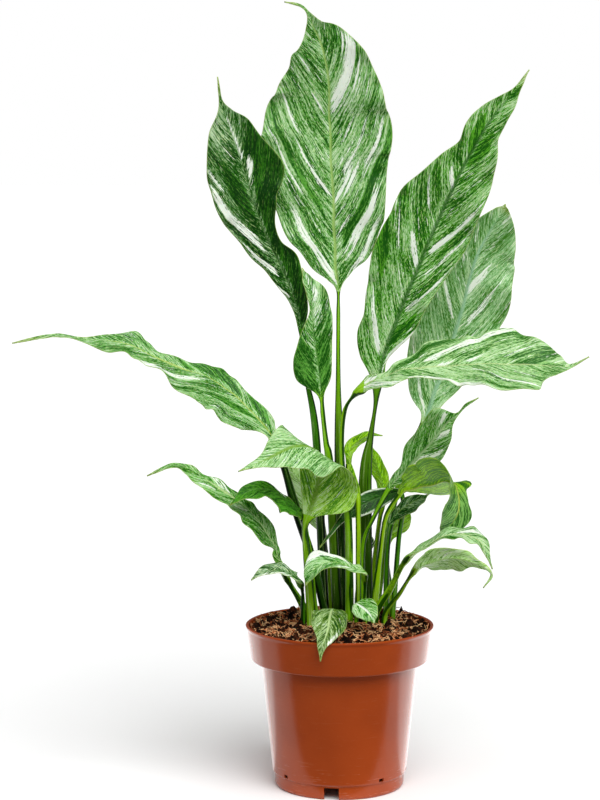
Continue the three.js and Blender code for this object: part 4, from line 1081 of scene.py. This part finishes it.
def leaf_net(leaf):
    """A leaf's net of points: col runs from -1 at the left margin to 1 at the
    right, out is its size, half is the blade's width to that side in mm, and
    off is the way from the midrib in mm."""
    net = leaf_rows(leaf)
    blade_col = columns(net.widest)
    stalk_col = np.sin(np.linspace(-math.pi / 2, math.pi / 2, len(blade_col)))
    net.col = mix(stalk_col, blade_col, net.flat)
    net.u, net.flat, net.length, _ = np.broadcast_arrays(net.u, net.flat, net.length, net.col)
    net.out = np.abs(net.col)
    net.left = blade_col[None, :] < 0
    half = np.where(net.left, net.halves[:, :1], net.halves[:, 1:])
    slender = 1 - step(half, 2, 4)
    tip = step(net.length, net.length[-1] - TIP_TAPER, net.length[-1])
    net.half = np.maximum(half * (1 - 0.6 * slender * tip), LEAST_HALF)
    net.off = net.out * net.half
    return net


def waviness(leaf, net, start):
    """How far the blade rises by its waved margins, fine ruffles and soft swells."""
    body = np.sin(math.pi * net.u)
    phase = 2 * math.pi * leaf["waves"] * net.u + np.where(net.left, 0, WAVE_LAG)
    wave = leaf["wave"] * np.sin(phase) * body * net.out ** 2 * net.flat
    drift = RUFFLE["drift"] * np.sin(net.length / RUFFLE["drift_length"] + start[0])
    phase = net.length / RUFFLE["length"] + drift + np.where(net.left, 0, RUFFLE["lag"])
    ruffle = RUFFLE["height"] * np.sin(phase)
    ruffle *= step(net.out, 0.66, 1) * body * net.flat * min(1, leaf["wave"])
    swell = sum(height * np.sin(net.length / length + first + lean * net.col)
                for (height, length, lean), first in zip(SWELLS, start[1:]))
    swell *= body * net.flat * step(net.half, 4, 16)
    return wave + ruffle + swell


def pleats(net, start):
    """Each point's place among the side veins in mm, its height on a pleat from 0
    in a valley to 1 on top, and how fully the pleats show there."""
    lean = VEIN_LEAN["foot"] + VEIN_LEAN["margin"] * net.out + VEIN_LEAN["tip"] * net.u
    vein = net.length - net.off * lean
    drift = np.sin(vein / VEIN_DRIFT["length"] + start[3] + np.where(net.left, 0, VEIN_DRIFT["lag"]))
    turn = vein / VEIN_SPACING + VEIN_DRIFT["turns"] * drift
    pleat = np.abs(np.sin(math.pi * (turn + np.where(net.left, 0.5, 0)))) ** 0.6
    spread = step(net.off, 1.2, 6) * (1 - 0.75 * step(net.out, 0.8, 1)) * step(net.half, 5, 14) * net.flat
    return vein, pleat, spread


def thickness(net):
    """How far the two faces lie above and below the middle: on the stalk they
    make it round, on the blade there is a groove above the midrib's keel."""
    deep = np.minimum(net.half, STALK_DEPTH) * np.sqrt(np.maximum(1 - net.out ** 2, 0))
    taper = 1 - RIB_TAPER * net.u
    keel = KEEL["height"] * taper * np.exp(-(net.off / KEEL["width"]) ** 2)
    walls, floor = (np.exp(-(net.off / GROOVE[part]) ** 2) for part in ("width", "floor"))
    groove = GROOVE["height"] * taper * (walls - 2 * floor)
    sheet = HALF_THICK * np.sqrt(np.clip((net.half - net.off) / 0.4, 0, 1))
    above = mix(deep, sheet + groove * step(net.half, 2, 6), net.flat)
    below = mix(deep, sheet + keel, net.flat)
    above[:, [0, -1]] = below[:, [0, -1]] = 0
    return above, below


def leaf_surface(leaf, seed):
    """A leaf's net with the points of its upper and under faces."""
    net = leaf_net(leaf)
    start = np.random.default_rng(seed).uniform(0, 6.28, 4)
    net.vein, pleat, spread = pleats(net, start)
    net.pleat = mix(1, pleat, spread)
    fold = math.radians(leaf["fold"]) * net.flat
    rise = np.sin(fold) * net.off + waviness(leaf, net, start) + PLEAT_DEPTH * (pleat - 0.7) * spread
    sheet = net.middle + net.side * (np.cos(fold) * net.col * net.half)[..., None] + net.up * rise[..., None]
    above, below = thickness(net)
    net.top = sheet + net.up * above[..., None]
    net.low = sheet - net.up * below[..., None]
    return net


def cream_and_shade_amount(look, net):
    """How strongly each point tends to cream, from the leaf's marbling and sectors; negative amounts are
    painted shade, and the tall leaf's faint sector over its right half is painted light.
    """
    amount = np.full(net.off.shape, float(look["marble"]))
    for side, begin, end, near, far, tone in look.get("sectors", ()):
        inside = step(net.vein, begin - 1, begin + 1) * (1 - step(net.vein, end - 1, end + 1))
        inside *= step(net.out, near - 0.06, near + 0.06) * (1 - step(net.out, far - 0.1, far + 0.1))
        inside *= np.where(net.left, side < 0, side > 0)
        amount = mix(amount, tone, inside)
    return amount


def passing(low, high, share):
    """Colours that pass from one to another by each point's share."""
    return mix(np.asarray(low), np.asarray(high), share[..., None])


def leaf_colours(look, net, face):
    """Ground colours of one face: the stalk's, passing into the blade's."""
    tissue = look["tissue"]
    # A dark base paints shade on the stalk's foot, low in the bundle.
    stalk = passing(look.get("base", BRIGHT_BASE), tissue["stalk"], step(net.length, *STALK_PALES))
    blade = passing(tissue[face], look.get("outer", tissue)[face], step(net.u, *OUTER_FROM))
    colour = passing(stalk, blade, step(net.length, *BLADE_FROM))
    return passing(colour, TIP, step(net.u, *TIP_FROM))


def grid_faces(rows, cols):
    """Quads of the top and low grids, which share their two margins; a quad's
    first corner is chosen so that it splits along the side veins."""
    count = rows * cols
    top = np.arange(count).reshape(rows, cols)
    low = top + count
    low[:, 0], low[:, -1] = top[:, 0], top[:, -1]
    up_faces = np.stack([top[:-1, :-1], top[:-1, 1:], top[1:, 1:], top[1:, :-1]], -1)
    down_faces = np.stack([low[:-1, :-1], low[1:, :-1], low[1:, 1:], low[:-1, 1:]], -1)
    for faces in (up_faces, down_faces):
        faces[:, :cols // 2] = np.roll(faces[:, :cols // 2], -1, axis=-1)
    root = [*top[0, ::-1], *low[0, 1:-1]]
    tip = [*top[-1], *low[-1, -2:0:-1]]
    return up_faces.reshape(-1, 4), down_faces.reshape(-1, 4), [root, tip]


def on_both(values):
    """A net's values, for its upper and then its under points."""
    return np.tile(values.reshape(-1), 2)


def skin_maps(mesh, net, quads, on_blade, on_left, index):
    """The veins map and the blade map, as leaf_skin reads them."""
    corner = quads.reshape(-1)
    vein, off, length, half, u = (
        on_both(values)[corner] for values in (net.vein, net.off, net.length, net.half, net.u))
    blade, left = np.repeat(on_blade, 4), np.repeat(on_left, 4)
    signed = off * np.where(left, -1, 1)
    across = np.where(blade, vein, signed) / 10 + LEAF_SHIFT * index + np.where(left, HALF_SHIFT, 0) * blade
    add_uv(mesh, "veins", across, np.where(blade, signed, length) / 10)
    add_uv(mesh, "blade", u, (half - off) / 10)


def skin_attributes(mesh, net, look):
    """What the skin reads at each point: cream, pleats, midrib and ground colour."""
    add_floats(mesh, "cream", on_both(cream_and_shade_amount(look, net)))
    add_floats(mesh, "pleat", on_both(net.pleat))
    tone, strength, breadth = look.get("rib", PLAIN_RIB)
    width = mix(breadth, 0.4 * breadth, net.u) * step(net.half, 1, 8)
    rib = (1 - step(net.off, 0.5 * width, width + 0.05)) * (1 - step(net.u, 0.75, 0.95)) * net.flat
    add_floats(mesh, "rib", on_both(rib * strength))
    add_colours(mesh, "rib_tone", np.tile(tone, (2 * net.off.size, 1)))
    ground = [leaf_colours(look, net, face).reshape(-1, 3) for face in ("upper", "under")]
    add_colours(mesh, "ground", np.concatenate(ground))


def leaf_piece(leaf, index, materials):
    """One leaf: the upper skin, the under skin and the stalk's, on a closed mesh."""
    name, look = leaf["name"], LOOKS[leaf["name"]]
    net = leaf_surface(leaf, index)
    rows, cols = net.off.shape
    up_faces, down_faces, ends = grid_faces(rows, cols)
    quads = np.concatenate([up_faces, down_faces])
    points = np.concatenate([net.top.reshape(-1, 3), net.low.reshape(-1, 3)]) * MM
    mesh = bpy.data.meshes.new(name + "_look")
    mesh.from_pydata(points.tolist(), [], [*quads.tolist(), *ends])

    cells = np.tile(np.arange(len(up_faces)), 2)
    on_blade = net.flat[cells // (cols - 1), 0] > 0.5
    on_left = cells % (cols - 1) < cols // 2
    under = np.arange(len(quads)) >= len(up_faces)
    skins = np.where(on_blade, under.astype(int), 2)
    mesh.polygons.foreach_set("material_index", [*skins.tolist(), 2, 2])
    for material in materials:
        mesh.materials.append(material)
    skin_maps(mesh, net, quads, on_blade, on_left, index)
    skin_attributes(mesh, net, look)
    finish_piece(mesh, SLOTS[name], name)


def soil_field():
    """The open top of the soil as a mesh for crumbs and fibres to lie on."""
    shape = bmesh.new()
    rings = []
    angles = np.arange(FIELD_AROUND) * 2 * math.pi / FIELD_AROUND
    for r in np.linspace(FIELD_HOLE, SOIL_REACH - FIELD_BACK, FIELD_RINGS):
        ring = [(r * math.cos(a), r * math.sin(a)) for a in angles]
        rings.append([shape.verts.new(Vector((x, y, float(soil_height(x, y)))) * MM) for x, y in ring])
    for low, high in zip(rings, rings[1:]):
        for j in range(FIELD_AROUND):
            after = (j + 1) % FIELD_AROUND
            shape.faces.new((low[j], high[j], high[after], low[after]))
    mesh = bpy.data.meshes.new("soil_field")
    shape.to_mesh(mesh)
    shape.free()
    field = bpy.data.objects.new("soil_field", mesh)
    bpy.context.scene.collection.objects.link(field)
    return field


def scatter_tree(name, sizes, material, build):
    """A geometry tree: points on the field, build(nodes, points, socket) on them."""
    tree = bpy.data.node_groups.new(name, "GeometryNodeTree")
    tree.interface.new_socket("Field", in_out="INPUT", socket_type="NodeSocketGeometry")
    for size in sizes:
        tree.interface.new_socket(size, in_out="INPUT", socket_type="NodeSocketFloat")
    tree.interface.new_socket("Pieces", in_out="OUTPUT", socket_type="NodeSocketGeometry")
    nodes = Nodes(tree)
    entry = nodes.add("NodeGroupInput").socket.node
    given = {socket.name: Value(nodes, socket) for socket in entry.outputs if socket.name}
    points = nodes.add("GeometryNodeDistributePointsOnFaces", {"distribute_method": "RANDOM"},
                       {"Mesh": given["Field"], "Density": given["Density"], "Seed": SEEDS["places"]})
    things = build(nodes, points, given)
    plain = nodes.add("GeometryNodeRealizeInstances", inputs={0: things})
    finished = nodes.add("GeometryNodeSetMaterial", inputs={"Geometry": plain, "Material": material})
    nodes.add("NodeGroupOutput", inputs={0: finished})
    return tree


def random_value(nodes, low, high, seed, kind="FLOAT"):
    """A random number, or vector, for each element; the seed is fixed. The node's
    sockets are told apart by number, because several share a name."""
    first = 0 if kind == "FLOAT_VECTOR" else 2
    values = {first: low, first + 1: high, 8: seed}
    output = 0 if kind == "FLOAT_VECTOR" else 1
    return nodes.add("FunctionNodeRandomValue", {"data_type": kind}, values, output)


def shifted(nodes, things, amount, scale):
    """Moves every point by smooth noise, so that no two things stay alike."""
    place = nodes.add("GeometryNodeInputPosition")
    inputs = {"Vector": place, "Scale": scale, "Detail": 2.0}
    drift = nodes.add("ShaderNodeTexNoise", inputs=inputs, output=1)
    centred = nodes.add("ShaderNodeVectorMath", {"operation": "SUBTRACT"}, {0: drift, 1: (0.5, 0.5, 0.42)})
    offset = nodes.add("ShaderNodeVectorMath", {"operation": "SCALE"}, {0: centred, 3: amount})
    return nodes.add("GeometryNodeSetPosition", inputs={"Geometry": things, "Offset": offset})


def held(nodes, things, radius):
    """Draws what lies further out than radius back in to it."""
    x, y, z = nodes.split(nodes.add("GeometryNodeInputPosition"))
    square = x * x + y * y
    far = square.math("SQRT", square)
    share = far.math("MINIMUM", far.math("DIVIDE", radius, far), 1.0)
    return nodes.add("GeometryNodeSetPosition", inputs={
        "Geometry": things, "Position": nodes.join(x * share, y * share, z)})


def fibres(nodes, points, given):
    """Curly fibres lying about, each of its own length, lean and shade."""
    line = nodes.add("GeometryNodeCurvePrimitiveLine", inputs={
        "Start": nodes.join(given["Length"] * -0.5, 0, 0), "End": nodes.join(given["Length"] * 0.5, 0, 0)})
    line = nodes.add("GeometryNodeResampleCurve", inputs={"Curve": line, "Count": FIBRE_POINTS})
    lows, highs = (-FIBRE_LEAN, -FIBRE_LEAN, 0), (FIBRE_LEAN, FIBRE_LEAN, ALL_ROUND)
    turn = random_value(nodes, lows, highs, SEEDS["fibre_turn"], "FLOAT_VECTOR")
    size = random_value(nodes, 0.35, 1.5, SEEDS["fibre_size"])
    laid = nodes.add("GeometryNodeInstanceOnPoints", inputs={
        "Points": points, "Instance": line, "Rotation": turn, "Scale": size})
    shade = random_value(nodes, 0.0, 1.0, SEEDS["fibre_shade"])
    shaded = nodes.add("GeometryNodeStoreNamedAttribute", {"data_type": "FLOAT", "domain": "INSTANCE"}, {
        "Geometry": laid, "Name": "shade", "Value": shade})
    loose = nodes.add("GeometryNodeRealizeInstances", inputs={0: shaded})
    curled = held(nodes, shifted(nodes, loose, given["Curl"], 170.0), SOIL_REACH * MM)
    ring = nodes.add("GeometryNodeCurvePrimitiveCircle", {"mode": "RADIUS"}, {
        "Resolution": 4, "Radius": given["Thickness"] * 0.5})
    return nodes.add("GeometryNodeCurveToMesh", inputs={
        "Curve": curled, "Profile Curve": ring, "Fill Caps": True})


def crumbs(nodes, points, given):
    """Irregular crumbs of peat."""
    ball = nodes.add("GeometryNodeMeshIcoSphere", inputs={"Radius": given["Size"] * 0.5, "Subdivisions": 1})
    turn = random_value(nodes, (0, 0, 0), (ALL_ROUND,) * 3, SEEDS["crumb_turn"], "FLOAT_VECTOR")
    size = random_value(nodes, (0.4, 0.35, 0.3), (1.8, 1.5, 1.2), SEEDS["crumb_size"], "FLOAT_VECTOR")
    laid = nodes.add("GeometryNodeInstanceOnPoints", inputs={
        "Points": points, "Instance": ball, "Rotation": turn, "Scale": size})
    loose = nodes.add("GeometryNodeRealizeInstances", inputs={0: laid})
    return held(nodes, shifted(nodes, loose, given["Roughness"], 520.0), SOIL_REACH * MM)


def scattered(name, build, sizes, material):
    """One plain mesh of all the things that a tree lays on the soil."""
    field = soil_field()
    tree = scatter_tree(name, sizes, material, build)
    modifier = field.modifiers.new(name, "NODES")
    modifier.node_group = tree
    for item in tree.interface.items_tree:
        if item.in_out == "INPUT" and item.name in sizes:
            modifier[item.identifier] = sizes[item.name]
    mesh = settle(field)
    mesh.name = name + "_look"
    finish_piece(mesh, "soil_peat", "soil")


def camera():
    """A long lens, level with the tall blades, looking slightly down."""
    data = bpy.data.cameras.new("camera")
    data.sensor_width = CAMERA["film"]
    data.lens = CAMERA["lens"]
    data.clip_end = 50
    thing = bpy.data.objects.new("camera", data)
    thing.location = CAMERA["place"]
    thing.rotation_euler = (math.radians(90 - CAMERA["down"]), 0, 0)
    bpy.context.scene.collection.objects.link(thing)
    bpy.context.scene.camera = thing


def glow(name, turn, near, far, across, power):
    """A panel lying on the floor that only sheen sees. It runs out from near to
    far along the direction turn, and lies to the left of that line, or to the
    right of it where across is negative."""
    data = bpy.data.lights.new(name, "AREA")
    data.shape = "RECTANGLE"
    data.size, data.size_y = far - near, abs(across)
    data.energy = power
    light = bpy.data.objects.new(name, data)
    turn = math.radians(turn)
    middle = (near + far) / 2
    light.location = (
        middle * math.cos(turn) - across / 2 * math.sin(turn),
        middle * math.sin(turn) + across / 2 * math.cos(turn), 0.001)
    light.rotation_euler = (math.pi, 0, turn)
    light.visible_camera = light.visible_diffuse = False
    bpy.context.scene.collection.objects.link(light)


def backdrop():
    """A white world: full for the eye, softer as light, dim in the sheen."""
    world = bpy.data.worlds.new("studio")
    world.use_nodes = True
    nodes = Nodes(world.node_tree)
    eye = nodes.add("ShaderNodeLightPath", output="Is Camera Ray")
    sheen = nodes.add("ShaderNodeLightPath", output="Is Glossy Ray")
    strength = WORLD["fill"] + eye * (WORLD["eye"] - WORLD["fill"]) + sheen * (WORLD["sheen"] - WORLD["fill"])
    background = world.node_tree.nodes["Background"]
    background.inputs["Color"].default_value = (1, 1, 1, 1)
    world.node_tree.links.new(strength.socket, background.inputs["Strength"])
    bpy.context.scene.world = world


def ground():
    """A pale floor, which ends just before the pot so that its front mirrors none."""
    mesh = bpy.data.meshes.new("floor")
    side, front, back = FLOOR["side"], FLOOR["front"], FLOOR["back"]
    corners = [(-side, front, 0), (side, front, 0), (side, back, 0), (-side, back, 0)]
    mesh.from_pydata(corners, [], [(0, 1, 2, 3)])
    mesh.materials.append(finish_material("floor_white", floor_white))
    floor = bpy.data.objects.new("floor", mesh)
    bpy.context.scene.collection.objects.link(floor)


def studio():
    """A soft key from the upper right, and panels whose sheen edges the pot."""
    backdrop()
    ground()
    sun = bpy.data.lights.new("key", "SUN")
    sun.energy, sun.angle = KEY["power"], math.radians(KEY["softness"])
    key = bpy.data.objects.new("key", sun)
    key.location = KEY["place"]
    key.rotation_euler = (-key.location).to_track_quat("-Z", "Y").to_euler()
    bpy.context.scene.collection.objects.link(key)
    for name, panel in PANELS.items():
        glow(name, *panel)
    bpy.context.scene.view_settings.view_transform = "Standard"


SLOTS = {part["node"]: part["material_slot"] for part in frame["record"]["subparts"]}
SKINS = [finish_material(name, make) for name, make in (
    ("leaf_upper", leaf_upper), ("leaf_under", leaf_under), ("leaf_stalk", stalk_skin))]
for number, leaf in enumerate(LEAVES):
    leaf_piece(leaf, number, SKINS)
pot_piece()
PEAT = finish_material("peat", peat)
soil_piece(PEAT)
scattered("peat_crumbs", crumbs, CRUMBS, PEAT)
scattered("coir_fibres", fibres, FIBRES, finish_material("coir", coir))
camera()
studio()
